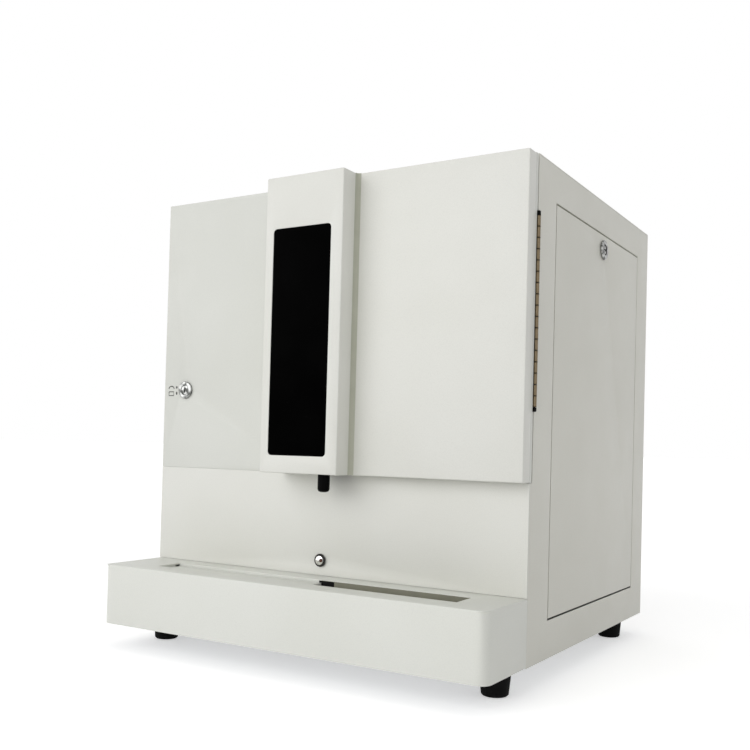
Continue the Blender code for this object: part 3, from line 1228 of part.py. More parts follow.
def build_microscope(grey, black, steel, glass):
    base = TABLE_TOP_Z + FIT
    axis_y = (COLUMN_FRONT_Y + COLUMN_REAR_Y) * HALF_SHARE
    column_x = STAND_LEFT_X + COLUMN_WIDTH
    root_x = column_x - OVERRUN
    arm_half = TUBE_ARM_HEIGHT * HALF_SHARE
    stand = block("microscope_stand", STAND_LEFT_X, STAND_RIGHT_X, STAND_FRONT_Y, STAND_REAR_Y,
                  base, base + STAND_FOOT_HEIGHT)
    column = block("stand_column", STAND_LEFT_X, column_x, COLUMN_FRONT_Y, COLUMN_REAR_Y,
                   base + STAND_FOOT_HEIGHT * HALF_SHARE, COLUMN_TOP_Z)
    tube_arm = block("tube_arm", root_x, TUBE_X, axis_y - arm_half, axis_y + arm_half,
                     TUBE_ARM_BOTTOM_Z, TUBE_ARM_BOTTOM_Z + TUBE_ARM_HEIGHT)
    tube = rod("optic_tube", "+Z", (TUBE_X, axis_y, TUBE_BOTTOM_Z), TUBE_RADIUS,
               TUBE_TOP_Z - TUBE_BOTTOM_Z)
    lamp_arm = block("lamp_arm", root_x, TUBE_X, axis_y - arm_half, axis_y + arm_half,
                     LAMP_BOTTOM_Z, LAMP_BOTTOM_Z + LAMP_ARM_HEIGHT)
    lamp = rod("lamp_house", "+Z", (TUBE_X, axis_y, LAMP_BOTTOM_Z), LAMP_RADIUS, LAMP_HEIGHT)
    paint(unite(stand, column, tube_arm, tube, lamp_arm, lamp), grey)

    objective = turned("objective", "+Z", (TUBE_X, axis_y, TUBE_BOTTOM_Z - FIT), [
        (0.0, 0.0),
        (OBJECTIVE_RADIUS, 0.0),
        (OBJECTIVE_RADIUS, -OBJECTIVE_HEIGHT),
        (OBJECTIVE_NOSE_RADIUS, -OBJECTIVE_HEIGHT - OBJECTIVE_NOSE_HEIGHT),
        (0.0, -OBJECTIVE_HEIGHT - OBJECTIVE_NOSE_HEIGHT),
    ], steps=PLAIN_STEPS)
    paint(objective, steel)
    camera_z = TUBE_TOP_Z + FIT
    paint(block("camera", TUBE_X - CAMERA_HALF, TUBE_X + CAMERA_HALF, axis_y - CAMERA_HALF,
                axis_y + CAMERA_HALF, camera_z, camera_z + CAMERA_HEIGHT), black)

    stage_top = STAGE_BOTTOM_Z + STAGE_HEIGHT
    stage = block("focus_stage", column_x + FIT, STAGE_RIGHT_X, COLUMN_FRONT_Y, COLUMN_REAR_Y,
                  STAGE_BOTTOM_Z, stage_top)
    hole = rod("stage_hole", "+Z", (TUBE_X, axis_y, STAGE_BOTTOM_Z - OVERRUN),
               STAGE_HOLE_RADIUS, STAGE_HEIGHT + OVERRUN + OVERRUN)
    paint(cut(stage, hole), black)
    cell_z = stage_top + FIT
    paint(block("flow_cell", TUBE_X - FLOW_CELL_HALF_X, TUBE_X + FLOW_CELL_HALF_X,
                axis_y - FLOW_CELL_HALF_Y, axis_y + FLOW_CELL_HALF_Y, cell_z,
                cell_z + FLOW_CELL_HEIGHT), glass)


# Syringe pump

def build_syringe(grey, glass, steel):
    paint(block("syringe_drive", SYRINGE_X - SYRINGE_HALF_WIDTH, SYRINGE_X + SYRINGE_HALF_WIDTH,
                SYRINGE_DRIVE_FRONT_Y, BULKHEAD_Y - FIT, SYRINGE_BOTTOM_Z, SYRINGE_TOP_Z), grey)
    axis_y = SYRINGE_DRIVE_FRONT_Y - FIT - BARREL_RADIUS
    wall = BARREL_RADIUS - BARREL_BORE_RADIUS
    top = BARREL_TOP_Z - BARREL_BOTTOM_Z
    barrel = turned("syringe_barrel", "+Z", (SYRINGE_X, axis_y, BARREL_BOTTOM_Z), [
        (0.0, top),
        (BARREL_RADIUS, top),
        (BARREL_RADIUS, 0.0),
        (BARREL_BORE_RADIUS, 0.0),
        (BARREL_BORE_RADIUS, top - wall),
        (0.0, top - wall),
    ], steps=PLAIN_STEPS)
    paint(barrel, glass)
    top = PISTON_TOP_Z - PLUNGER_BOTTOM_Z
    plunger = turned("syringe_plunger", "+Z", (SYRINGE_X, axis_y, PLUNGER_BOTTOM_Z), [
        (0.0, top),
        (PISTON_RADIUS, top),
        (PISTON_RADIUS, top - PISTON_HEIGHT),
        (PISTON_ROD_RADIUS, top - PISTON_HEIGHT),
        (PISTON_ROD_RADIUS, PLUNGER_HEAD_HEIGHT),
        (PLUNGER_HEAD_RADIUS, PLUNGER_HEAD_HEIGHT),
        (PLUNGER_HEAD_RADIUS, 0.0),
        (0.0, 0.0),
    ], steps=PLAIN_STEPS)
    paint(plunger, steel)


# Power supply, fan, inlet and switch

def build_fan(black):
    rear = CABINET_DEPTH - SHEET - FIT
    front = rear - FAN_DEPTH
    housing = block("fan_housing", FAN_X - FAN_HALF, FAN_X + FAN_HALF, front, rear,
                    FAN_Z - FAN_HALF, FAN_Z + FAN_HALF)
    bore = rod("fan_bore", "-Y", (FAN_X, rear + OVERRUN, FAN_Z), FAN_BORE_RADIUS,
               FAN_DEPTH + OVERRUN + OVERRUN)
    spoke = FAN_SPOKE_WIDTH * HALF_SHARE
    reach = FAN_BORE_RADIUS + SHEET
    across = block("fan_spoke_across", FAN_X - reach, FAN_X + reach, front,
                   front + FAN_SPOKE_DEPTH, FAN_Z - spoke, FAN_Z + spoke)
    upright = block("fan_spoke_upright", FAN_X - spoke, FAN_X + spoke, front,
                    front + FAN_SPOKE_DEPTH, FAN_Z - reach, FAN_Z + reach)
    disc = rod("fan_motor_disc", "-Y", (FAN_X, front + FAN_SPOKE_DEPTH, FAN_Z), FAN_HUB_RADIUS,
               FAN_SPOKE_DEPTH)
    paint(unite(cut(housing, bore), across, upright, disc), black)

    hub_front = front + FAN_SPOKE_DEPTH + FIT
    hub_rear = rear - FAN_SPOKE_DEPTH
    rotor = rod("fan_rotor", "-Y", (FAN_X, hub_rear, FAN_Z), FAN_HUB_RADIUS,
                hub_rear - hub_front)
    root = FAN_HUB_RADIUS - FAN_SPOKE_DEPTH
    length = FAN_TIP_RADIUS - root
    bm = bmesh.new()
    for i in range(FAN_BLADES):
        angle = 2 * math.pi * i / FAN_BLADES
        shape = Matrix.Diagonal((length, FAN_BLADE_DEPTH, FAN_BLADE_THICKNESS, 1.0))
        tilt = Matrix.Rotation(math.radians(35), 4, "X")
        out = Matrix.Translation((root + length * HALF_SHARE, 0.0, 0.0))
        bmesh.ops.create_cube(bm, size=1.0,
                              matrix=Matrix.Rotation(angle, 4, "Y") @ out @ tilt @ shape)
    mesh = bpy.data.meshes.new("fan_blades")
    bm.to_mesh(mesh)
    bm.free()
    blades = link("fan_blades", mesh, (FAN_X, (hub_front + hub_rear) * HALF_SHARE, FAN_Z))
    paint(unite(rotor, blades), black)


def build_power(zinc, black):
    paint(block("power_supply", SUPPLY_LEFT_X, SUPPLY_RIGHT_X, SUPPLY_FRONT_Y, SUPPLY_REAR_Y,
                FLOOR_TOP_Z, FLOOR_TOP_Z + SUPPLY_HEIGHT), zinc)
    face = CABINET_DEPTH + FIT + INLET_PROUD
    half_x, half_z = INLET_HALF_WIDTH + INLET_FLANGE, INLET_HALF_HEIGHT + INLET_FLANGE
    inlet = block("power_inlet", INLET_X - half_x, INLET_X + half_x, CABINET_DEPTH + FIT, face,
                  INLET_Z - half_z, INLET_Z + half_z)
    body = block("inlet_body", INLET_X - INLET_HALF_WIDTH, INLET_X + INLET_HALF_WIDTH,
                 CABINET_DEPTH - INLET_BODY_DEPTH, face - INLET_PROUD * HALF_SHARE,
                 INLET_Z - INLET_HALF_HEIGHT, INLET_Z + INLET_HALF_HEIGHT)
    socket = block("inlet_socket", INLET_X - SOCKET_HALF_WIDTH, INLET_X + SOCKET_HALF_WIDTH,
                   face - SOCKET_DEPTH, face + OVERRUN, SOCKET_Z - SOCKET_HALF_HEIGHT,
                   SOCKET_Z + SOCKET_HALF_HEIGHT)
    root = face - SOCKET_DEPTH
    pins = blocks("inlet_pins", [
        (INLET_X + side - SOCKET_PIN_HALF, INLET_X + side + SOCKET_PIN_HALF,
         root - SOCKET_PIN_HALF, root + SOCKET_PIN_REACH, SOCKET_Z - SOCKET_PIN_HALF,
         SOCKET_Z + SOCKET_PIN_HALF) for side in (-SOCKET_PIN_SPREAD, 0.0, SOCKET_PIN_SPREAD)])
    well = rod("switch_well", "+X", (INLET_X - SWITCH_HALF_WIDTH - FIT, SWITCH_AXIS_Y, SWITCH_Z),
               SWITCH_RADIUS + FIT, SWITCH_HALF_WIDTH + SWITCH_HALF_WIDTH + FIT + FIT)
    cut(unite(inlet, body), socket, well)
    paint(unite(inlet, pins), black)
    rocker = rod("power_switch", "+X", (INLET_X - SWITCH_HALF_WIDTH, SWITCH_AXIS_Y, SWITCH_Z),
                 SWITCH_RADIUS, SWITCH_HALF_WIDTH + SWITCH_HALF_WIDTH)
    bar = block("switch_bar", INLET_X - SWITCH_HALF_WIDTH, INLET_X + SWITCH_HALF_WIDTH,
                SWITCH_AXIS_Y, PART_REAR_Y, SWITCH_Z - SWITCH_BAR_HALF,
                SWITCH_Z + SWITCH_BAR_HALF)
    paint(unite(rocker, bar), black)


def build_all():
    coat = coated("powder_coated_steel")
    base_coat = coated("powder_coated_base", BASE_COLOR)
    zinc = metal("galvanised_steel", ZINC_COLOR, roughness=0.4)
    steel = metal("ground_steel")
    chrome = metal("chromed_brass", CHROME_COLOR, roughness=0.12)
    brass = metal("bronzed_hinge_steel", BRONZE_COLOR, roughness=0.4)
    bare = metal("turned_aluminium", STEEL_COLOR, roughness=0.35)
    black = plastic("black_plastic")
    grey = coated("grey_painted_aluminium", WHITE_COLOR)
    rubber = material("black_rubber", RUBBER_COLOR, roughness=0.8)
    window = material("smoked_acrylic", DARK_COLOR, roughness=0.1)
    glass = material("clear_glass", GLASS_COLOR, roughness=0.05, alpha=0.35)

    build_sides(coat)
    build_floor_and_rear(coat, zinc)
    build_frame(zinc)
    build_lower_panel(coat)
    build_base(base_coat, zinc)
    build_feet(rubber)
    build_door(coat, window, brass, steel, chrome)
    build_service_panel(coat, steel, chrome)
    build_button(chrome, black)
    build_chassis(zinc)
    build_sampler_frame(zinc)
    build_lift(black, rubber, bare)
    build_probe(grey, steel, black)
    build_conveyor(base_coat, steel, zinc, black, rubber, bare)
    build_microscope(grey, black, steel, glass)
    build_syringe(grey, glass, steel)
    build_fan(black)
    build_power(zinc, black)


build_all()
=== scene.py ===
"""Looks of the benchtop sediment analyzer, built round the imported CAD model.

Places are in millimetres from the cabinet's own corner: x from its left face, y from the
door's front face and z from its bottom. The corner is read from the frame's boxes, and
angles are in degrees.
"""
import json
import math

import bmesh
import bpy
from mathutils import Matrix, Vector


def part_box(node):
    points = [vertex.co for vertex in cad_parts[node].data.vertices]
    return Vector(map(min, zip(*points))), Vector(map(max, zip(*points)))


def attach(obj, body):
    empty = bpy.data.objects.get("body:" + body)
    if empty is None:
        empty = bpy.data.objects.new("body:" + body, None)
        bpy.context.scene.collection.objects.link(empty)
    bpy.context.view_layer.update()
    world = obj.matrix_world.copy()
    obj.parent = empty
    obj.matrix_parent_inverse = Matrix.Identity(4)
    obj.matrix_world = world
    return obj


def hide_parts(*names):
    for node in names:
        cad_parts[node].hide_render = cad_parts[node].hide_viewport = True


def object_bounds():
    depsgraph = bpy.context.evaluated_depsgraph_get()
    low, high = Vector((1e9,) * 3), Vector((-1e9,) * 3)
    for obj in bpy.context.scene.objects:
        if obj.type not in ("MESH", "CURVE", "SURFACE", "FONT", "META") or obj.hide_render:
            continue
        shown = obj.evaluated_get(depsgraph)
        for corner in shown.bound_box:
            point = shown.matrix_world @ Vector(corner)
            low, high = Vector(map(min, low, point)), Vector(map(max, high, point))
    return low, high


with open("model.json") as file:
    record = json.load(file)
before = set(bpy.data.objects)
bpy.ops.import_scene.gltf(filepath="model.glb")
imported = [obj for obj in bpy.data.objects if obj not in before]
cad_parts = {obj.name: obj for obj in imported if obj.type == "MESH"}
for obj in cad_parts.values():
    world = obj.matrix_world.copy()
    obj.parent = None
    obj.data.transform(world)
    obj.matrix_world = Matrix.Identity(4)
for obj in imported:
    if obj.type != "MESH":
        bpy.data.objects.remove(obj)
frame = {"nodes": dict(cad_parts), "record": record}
CAD_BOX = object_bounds()
MM = 0.001

# Camera that took the photograph: cabinet coordinates in metres, degrees, pixels of a 750 picture
PICTURE = 750
FOCAL_PX = 936.0
AXIS_ROW_PX = 426.0
TURN, RISE, ROLL = 31.39, -1.23, -1.53
EYE = Vector((1.0272, -1.0602, 0.2568))
SENSOR_MM = 36.0

# The cabinet's own corner in the frame: left face, door's front face, cabinet's bottom
LEFT_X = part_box("left_side_panel")[0][0]
FRONT_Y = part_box("lower_front_panel")[0][1]
BOTTOM_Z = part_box("floor_pan")[0][2]
CABINET = Vector((LEFT_X, FRONT_Y, BOTTOM_Z))


# Materials

WHITE = (1.0, 1.0, 1.0, 1.0)
MIDDLE_STOPS = (0.3, 0.7)


def linear(code):
    """An sRGB hex colour as the linear values that a shader takes."""
    parts = [int(code[i:i + 2], 16) / 255 for i in (1, 3, 5)]
    return tuple(p / 12.92 if p <= 0.04045 else ((p + 0.055) / 1.055) ** 2.4 for p in parts) + (1.0,)


def shade(value):
    """A hex colour, a level of grey or a ready colour as linear values."""
    if isinstance(value, str):
        return linear(value)
    return value if isinstance(value, tuple) else (value, value, value, 1.0)


def node(tree, kind, inputs=None, stops=(), **settings):
    """Adds a node: its settings, a ramp's stops, and its inputs as values or sockets to link."""
    made = tree.nodes.new(kind)
    for key, value in settings.items():
        setattr(made, key, value)
    for i, (position, value) in enumerate(stops):
        made.color_ramp.elements[i].position = position
        made.color_ramp.elements[i].color = shade(value)
    for key, value in (inputs or {}).items():
        if isinstance(value, bpy.types.NodeSocket):
            tree.links.new(value, made.inputs[key])
        else:
            made.inputs[key].default_value = value
    return made


def finish(name, patterns, rim_wear_and_highlight=None, **sockets):
    """A material made of patterns that have a real width in mm.

    A pattern drives the tone (two colours), a speck that darkens the tone (two levels), the
    dullness (two roughnesses) or the relief (a depth in mm). The rim setting gives outer edges
    another colour, between two stops of pointiness: rubbed wear, and on the hinge also a
    painted highlight along the knuckles.
    """
    material = bpy.data.materials.new(name)
    material.use_nodes = True
    tree = material.node_tree
    shader = tree.nodes["Principled BSDF"]
    for socket, value in sockets.items():
        shader.inputs[socket.replace("_", " ")].default_value = value
    place = node(tree, "ShaderNodeTexCoord").outputs["Object"]
    driven, relief = {}, {}
    for pattern in patterns:
        mapped = node(tree, "ShaderNodeMapping", {
            "Vector": place, "Scale": pattern.get("stretch", (1.0, 1.0, 1.0))})
        inputs = {"Vector": mapped.outputs["Vector"], "Scale": 1.0 / (pattern["mm"] * MM)}
        if "cells" in pattern:
            field = node(tree, "ShaderNodeTexVoronoi", inputs).outputs["Color"]
        else:
            inputs["Detail"] = pattern.get("detail", 3.0)
            field = node(tree, "ShaderNodeTexNoise", inputs).outputs["Fac"]
        stops = pattern.get("stops", MIDDLE_STOPS)
        for use in ("tone", "speck", "dull"):
            if use in pattern:
                driven[use] = node(tree, "ShaderNodeValToRGB", {"Fac": field},
                                   stops=tuple(zip(stops, pattern[use]))).outputs["Color"]
        if "depth_mm" in pattern:
            bump = node(tree, "ShaderNodeBump", {
                "Height": field, "Distance": pattern["depth_mm"] * MM, "Strength": 1.0, **relief})
            relief = {"Normal": bump.outputs["Normal"]}
    tone = driven["tone"]
    if "speck" in driven:
        tone = node(tree, "ShaderNodeMix", {0: 1.0, 6: tone, 7: driven["speck"]},
                    data_type="RGBA", blend_type="MULTIPLY").outputs[2]
    if rim_wear_and_highlight:
        low, high, rim_wear_and_highlight_colour = rim_wear_and_highlight
        points = node(tree, "ShaderNodeNewGeometry").outputs["Pointiness"]
        rims = node(tree, "ShaderNodeValToRGB", {"Fac": points}, stops=((low, 0.0), (high, 1.0)))
        tone = node(tree, "ShaderNodeMix", {0: rims.outputs["Color"], 6: tone, 7: linear(rim_wear_and_highlight_colour)},
                    data_type="RGBA", blend_type="MIX").outputs[2]
    tree.links.new(tone, shader.inputs["Base Color"])
    if "dull" in driven:
        tree.links.new(driven["dull"], shader.inputs["Roughness"])
    tree.links.new(relief["Normal"], shader.inputs["Normal"])
    return material


def powder_coat(name, code, patch_code):
    """Powder-coated steel: satin, with orange peel, a cloudy tone and a little dust in the grain.

    The peel is drawn at 2.6 mm, coarser than on real sheet, so that it shows.
    """
    return finish(name, [
        {"mm": 220, "detail": 2.0, "tone": (code, patch_code), "stops": (0.35, 0.65)},
        {"mm": 0.9, "detail": 2.0, "speck": (0.955, 1.0), "stops": (0.30, 0.55), "depth_mm": 0.012},
        {"mm": 2.6, "detail": 1.0, "depth_mm": 0.03},
        {"mm": 35, "dull": (0.42, 0.52)}], Roughness=0.46)


def zinc_sheet():
    """Galvanised steel sheet: its spangle shows as pale and darker cells of 6 mm."""
    return finish("galvanised_steel_sheet", [
        {"mm": 6, "cells": True, "tone": ("#9a9d9f", "#a9acae"), "stops": (0.2, 0.8)},
        {"mm": 14, "dull": (0.30, 0.50)},
        {"mm": 1.5, "depth_mm": 0.01}], Roughness=0.38, Metallic=1.0)


def machined(name, code, along=(1.0, 1.0, 40.0), roughness=0.3):
    """Machined or ground metal: fine cutter lines give it soft streaks."""
    line_colour = tuple(0.82 * part for part in linear(code)[:3]) + (1.0,)
    return finish(name, [
        {"mm": 12, "detail": 4.0, "stretch": along, "tone": (line_colour, code),
         "dull": (roughness - 0.06, roughness + 0.10), "depth_mm": 0.008}],
        Roughness=roughness, Metallic=1.0)


def chrome(name, dark, light, low, high):
    """Chrome plate with hair scratches: dark and light grey patches in its base colour are a painted
    reflection of the room that it mirrors.
    """
    return finish(name, [
        {"mm": 6, "detail": 4.0, "tone": (dark, light), "stops": (0.4, 0.6)},
        {"mm": 1.2, "detail": 5.0, "stretch": (1.0, 1.0, 9.0), "dull": (low, high)},
        {"mm": 0.6, "detail": 4.0, "depth_mm": 0.004}], Roughness=low, Metallic=1.0)


def bronzed(name, dark, light, rim_wear_and_highlight_colour):
    """Bronzed steel of the piano hinge: brown and half matt, brighter on its edges, as rubbed wear
    and as a painted highlight along the knuckles.
    """
    return finish(name, [
        {"mm": 5, "detail": 4.0, "tone": (dark, light)},
        {"mm": 2.5, "dull": (0.30, 0.50)},
        {"mm": 0.8, "depth_mm": 0.01}], rim_wear_and_highlight=(0.50, 0.56, rim_wear_and_highlight_colour), Roughness=0.38, Metallic=1.0)


def rubber():
    """Moulded rubber: matt black with scuffed, greyer rims."""
    return finish("black_rubber_moulded", [
        {"mm": 8, "detail": 4.0, "tone": ("#070707", "#101010")},
        {"mm": 3, "dull": (0.74, 0.90)},
        {"mm": 0.7, "depth_mm": 0.03}], rim_wear_and_highlight=(0.52, 0.60, "#1b1b1b"),
        Roughness=0.82, Specular_IOR_Level=0.08)


def plastic(name, dark, light, roughness=0.42, grain_mm=0.5, depth_mm=0.02, gloss=0.5):
    """Moulded plastic, enamel or ink: an even tone over a spark-eroded or sprayed grain."""
    return finish(name, [
        {"mm": 30, "tone": (dark, light)},
        {"mm": 6, "dull": (roughness - 0.06, roughness + 0.08)},
        {"mm": grain_mm, "detail": 1.0, "depth_mm": depth_mm}],
        Roughness=roughness, Specular_IOR_Level=gloss)


def smoked_acrylic():
    """Cast smoked acrylic: a black window with the faintest cast marks."""
    return finish("smoked_acrylic_cast", [
        {"mm": 60, "tone": ("#020202", "#040404")},
        {"mm": 9, "detail": 4.0, "dull": (0.07, 0.14)},
        {"mm": 40, "depth_mm": 0.01}], Roughness=0.1, IOR=1.49, Specular_IOR_Level=0.004)


def glass():
    """Drawn glass: clear, with slow waves along its wall."""
    return finish("clear_glass_drawn", [
        {"mm": 20, "tone": ("#dfe8ea", "#eef4f5")},
        {"mm": 12, "depth_mm": 0.01}], Roughness=0.03, IOR=1.5, Transmission_Weight=0.9)


# One powder coat in several tones: the raised panel and tower, the lower panel and the base are
# painted lighter than the door, as painted light that evens out how the lamps reach each part.
DOOR_COAT = powder_coat("powder_coated_steel_door", "#dadbd5", "#d6d7d0")
FRONT_COAT_PAINTED_LIGHTER = powder_coat("powder_coated_steel_front_painted_lighter", "#e3e3dd", "#dfdfd8")
LOWER_COAT_PAINTED_LIGHTER = powder_coat("powder_coated_steel_lower_painted_lighter", "#dfdfd9", "#dbdbd4")
SIDE_COAT = powder_coat("powder_coated_steel_side", "#dcdbd2", "#d8d7ce")
BASE_COAT_PAINTED_LIGHTER = powder_coat("powder_coated_steel_base_painted_lighter", "#e1e2dc", "#ddded7")
ZINC = zinc_sheet()
ALUMINIUM = machined("machined_aluminium", "#c4c5c6")
STEEL = machined("ground_steel", "#bcbdbe", along=(20.0, 20.0, 1.0), roughness=0.22)
PLATE_METAL = machined("brushed_aluminium_sheet", "#b9babb", along=(1.0, 1.0, 60.0))
BRASS = machined("turned_brass", "#b7995a", along=(1.0, 30.0, 1.0), roughness=0.28)
PAINTED = plastic("grey_enamel_on_aluminium", "#c9c9c4", "#d2d2cd", 0.40)
# Chromes of the locks, trim and button: their grey patches are painted reflection, darkest on the
# locks' plug faces.
CHROME = chrome("chromed_brass_polished", "#565755", "#b4b5b3", 0.14, 0.28)
CHROME_DULL_DARK_REFLECTION = chrome("chromed_brass_painted_dark_reflection", "#3f403f", "#a9aaa8", 0.18, 0.34)
CHROME_BRIGHT = chrome("chromed_steel_polished", "#dddcd8", "#f2f1ee", 0.06, 0.14)
BRONZE = bronzed("bronzed_steel_rolled", "#352f26", "#5c5242", "#776a55")
# Near-black bronze for the knuckles' ends: painted shade of the gaps between knuckles.
KNUCKLE_GAP_SHADE = bronzed("bronzed_steel_painted_gap_shade", "#17130d", "#2a2219", "#352c20")
RUBBER = rubber()
CORNER_SHADE_OLIVE = plastic("olive_grey_painted_corner_shade", "#b6b7a8", "#bcbdae", 0.6, gloss=0.1)
# Black rings round the lock plugs and the button's dome: painted shade of the gaps there.
GAP_SHADE_BLACK = plastic("black_painted_gap_shade", "#121110", "#1f1d1a", 0.55, gloss=0.25)
# Black for the keyways, vent slots and the slot's end block is painted shade of holes and recesses;
# on the hinge pin it is blackened steel.
SHADOW_BLACK = plastic("black_painted_shade_and_blackened_steel", "#050505", "#0b0b0b", 0.6, gloss=0.1)
BLACK = plastic("black_abs_moulded", "#030303", "#070707", 0.42, gloss=0.03)
MOTOR_BLACK = plastic("black_enamel_on_steel", "#141415", "#1d1d1f", 0.35, 1.2, 0.01)
SMOKED = smoked_acrylic()
GLASS = glass()
BELT = plastic("black_urethane_belt", "#0e0e0f", "#1a1a1b", 0.6, 1.5, 0.05, gloss=0.2)
INK = plastic("grey_pad_printed_ink", "#484946", "#555652", 0.55, gloss=0.2)
OLIVE_SHADE = plastic("olive_grey_painted_shade", "#72715f", "#7e7d6b", 0.5, 2.0, 0.03)
DARK_REFLECTION_AMBER = plastic("dark_amber_painted_reflection", "#2a1204", "#4a2108", 0.18, gloss=0.5)
FOAM = plastic("dark_grey_foam_strip", "#2b2b2c", "#3c3c3d", 0.9, 1.4, 0.25, gloss=0.1)
CABLE = plastic("grey_pvc_extruded", "#4a4b4d", "#565759", 0.5, 3.0, 0.02)
SILICONE = plastic("silicone_hose_extruded", "#cfd2d0", "#dde0de", 0.35, 4.0, 0.02)
BOARD_GREEN = plastic("green_solder_mask_on_laminate", "#0f4a2c", "#1a5c38", 0.3, 2.2, 0.04)


# Pieces

# Sides of round forms, cuts of rounded edges, and the turn past which an edge stays sharp
LATHE_SIDES, TUBE_SIDES, SCREW_SIDES, RIVET_SIDES, RING_SIDES = 32, 10, 12, 12, 24
TUBE_SPLITS = 8
SLAB_CUTS, SHELL_CUTS = 2, 3
SHARP_PAST, SHELL_SHARP_PAST, ROUNDED_PAST = 32, 30, 40

FACING_VECTORS = {"+X": (1, 0, 0), "-X": (-1, 0, 0), "-Y": (0, -1, 0), "+Y": (0, 1, 0),
                  "+Z": (0, 0, 1), "-Z": (0, 0, -1)}
FACINGS = {"+X": Matrix.Rotation(math.radians(90), 4, "Y"),
           "-X": Matrix.Rotation(math.radians(-90), 4, "Y"),
           "-Y": Matrix.Rotation(math.radians(90), 4, "X"),
           "+Y": Matrix.Rotation(math.radians(-90), 4, "X"),
           "+Z": Matrix.Identity(4),
           "-Z": Matrix.Rotation(math.radians(180), 4, "X")}

# The frame's zero point in cabinet places, where a form that is set on points is drawn
HOME = tuple(-CABINET / MM)


def set_up(name, data):
    """An object of a mesh, lamp or camera, at the frame's zero point."""
    ob = bpy.data.objects.new(name, data)
    bpy.context.scene.collection.objects.link(ob)
    return ob


def smooth_to(mesh, angle):
    """Smooth shading up to edges that turn by more than the angle."""
    mesh.shade_smooth()
    mesh.set_sharp_from_angle(angle=math.radians(angle))


def fixed_mesh(draft):
    """The mesh that a draft's modifiers make of it. The draft is removed."""
    bpy.context.view_layer.update()
    graph = bpy.context.evaluated_depsgraph_get()
    mesh = bpy.data.meshes.new_from_object(draft.evaluated_get(graph))
    bpy.data.objects.remove(draft, do_unlink=True)
    return mesh


def mesh_piece(name, bm, body, look, smooth=True):
    """A finished piece: its place is in its mesh, and it rides on a body."""
    bmesh.ops.recalc_face_normals(bm, faces=bm.faces)
    mesh = bpy.data.meshes.new(name)
    bm.to_mesh(mesh)
    bm.free()
    mesh.materials.append(look)
    if smooth:
        smooth_to(mesh, SHARP_PAST)
    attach(set_up(name, mesh), body)


def at(x, y, z):
    """A place in the cabinet as a place in the frame."""
    return CABINET + Vector((x, y, z)) * MM


def add_slab(bm, span, rounding_mm):
    """A block with rounded edges between (x0, x1, y0, y1, z0, z1)."""
    x0, x1, y0, y1, z0, z1 = span
    low, high = at(x0, y0, z0), at(x1, y1, z1)
    shape = Matrix.Translation((low + high) / 2) @ Matrix.Diagonal((high - low).to_4d())
    made = bmesh.ops.create_cube(bm, size=1.0, matrix=shape)
    edges = list({edge for vert in made["verts"] for edge in vert.link_edges})
    bmesh.ops.bevel(bm, geom=edges, offset=rounding_mm * MM, segments=SLAB_CUTS, profile=0.5,
                    affect="EDGES")


def add_lathe(bm, place, facing, profile, steps=LATHE_SIDES):
    """Turns (radius, height) points about the line that the piece faces along."""
    turn = Matrix.Translation(at(*place)) @ FACINGS[facing]
    closed = profile[0] == profile[-1]
    rings = []
    for radius, height in profile[:-1] if closed else profile:
        count = steps if radius else 1
        angles = [math.tau * i / steps for i in range(count)]
        rings.append([bm.verts.new(turn @ (Vector((radius * math.cos(a), radius * math.sin(a),
                                                   height)) * MM)) for a in angles])
    if closed:
        rings.append(rings[0])
    for first, second in zip(rings, rings[1:]):
        for i in range(steps):
            corners = [first[i % len(first)], first[(i + 1) % len(first)],
                       second[(i + 1) % len(second)], second[i % len(second)]]
            bm.faces.new(list(dict.fromkeys(corners)))


def add_outline(bm, place, facing, outline, low, high):
    """A plate of a flat outline of (u, v) points, between two heights along its facing."""
    turn = Matrix.Translation(at(*place)) @ FACINGS[facing]
    loops = [[bm.verts.new(turn @ (Vector((u, v, height)) * MM)) for u, v in outline]
             for height in (low, high)]
    bm.faces.new(loops[0][::-1])
    bm.faces.new(loops[1])
    for i in range(len(outline)):
        j = (i + 1) % len(outline)
        bm.faces.new((loops[0][i], loops[0][j], loops[1][j], loops[1][i]))


def add_tube(bm, points, radius):
    """A round wire or hose along a smooth line through the points, closed at both ends."""
    path = [at(*point) for point in points]
    line = []
    for i in range(len(path) - 1):
        before, after = path[max(i - 1, 0)], path[min(i + 2, len(path) - 1)]
        for k in range(TUBE_SPLITS):
            t = k / TUBE_SPLITS
            line.append(path[i] * (2 * t ** 3 - 3 * t ** 2 + 1)
                        + path[i + 1] * (3 * t ** 2 - 2 * t ** 3)
                        + (path[i + 1] - before) / 2 * (t ** 3 - 2 * t ** 2 + t)
                        + (after - path[i]) / 2 * (t ** 3 - t ** 2))
    line.append(path[-1])
    side = (line[1] - line[0]).orthogonal().normalized()
    turns = [math.tau * k / TUBE_SIDES for k in range(TUBE_SIDES)]
    rings = []
    for i, centre in enumerate(line):
        ahead = (line[min(i + 1, len(line) - 1)] - line[max(i - 1, 0)]).normalized()
        side = (side - ahead * side.dot(ahead)).normalized()
        across = ahead.cross(side)
        rings.append([bm.verts.new(centre + (side * math.cos(turn) + across * math.sin(turn))
                                   * radius * MM) for turn in turns])
    for first, second in zip(rings, rings[1:]):
        for k in range(TUBE_SIDES):
            j = (k + 1) % TUBE_SIDES
            bm.faces.new((first[k], first[j], second[j], second[k]))
    bm.faces.new(rings[0][::-1])
    bm.faces.new(rings[-1])


def piece(name, body, look, adder, parts, smooth=True):
    """One piece of several forms of the same kind, each given by its adder's arguments."""
    bm = bmesh.new()
    for part in parts:
        adder(bm, *part)
    mesh_piece(name, bm, body, look, smooth)


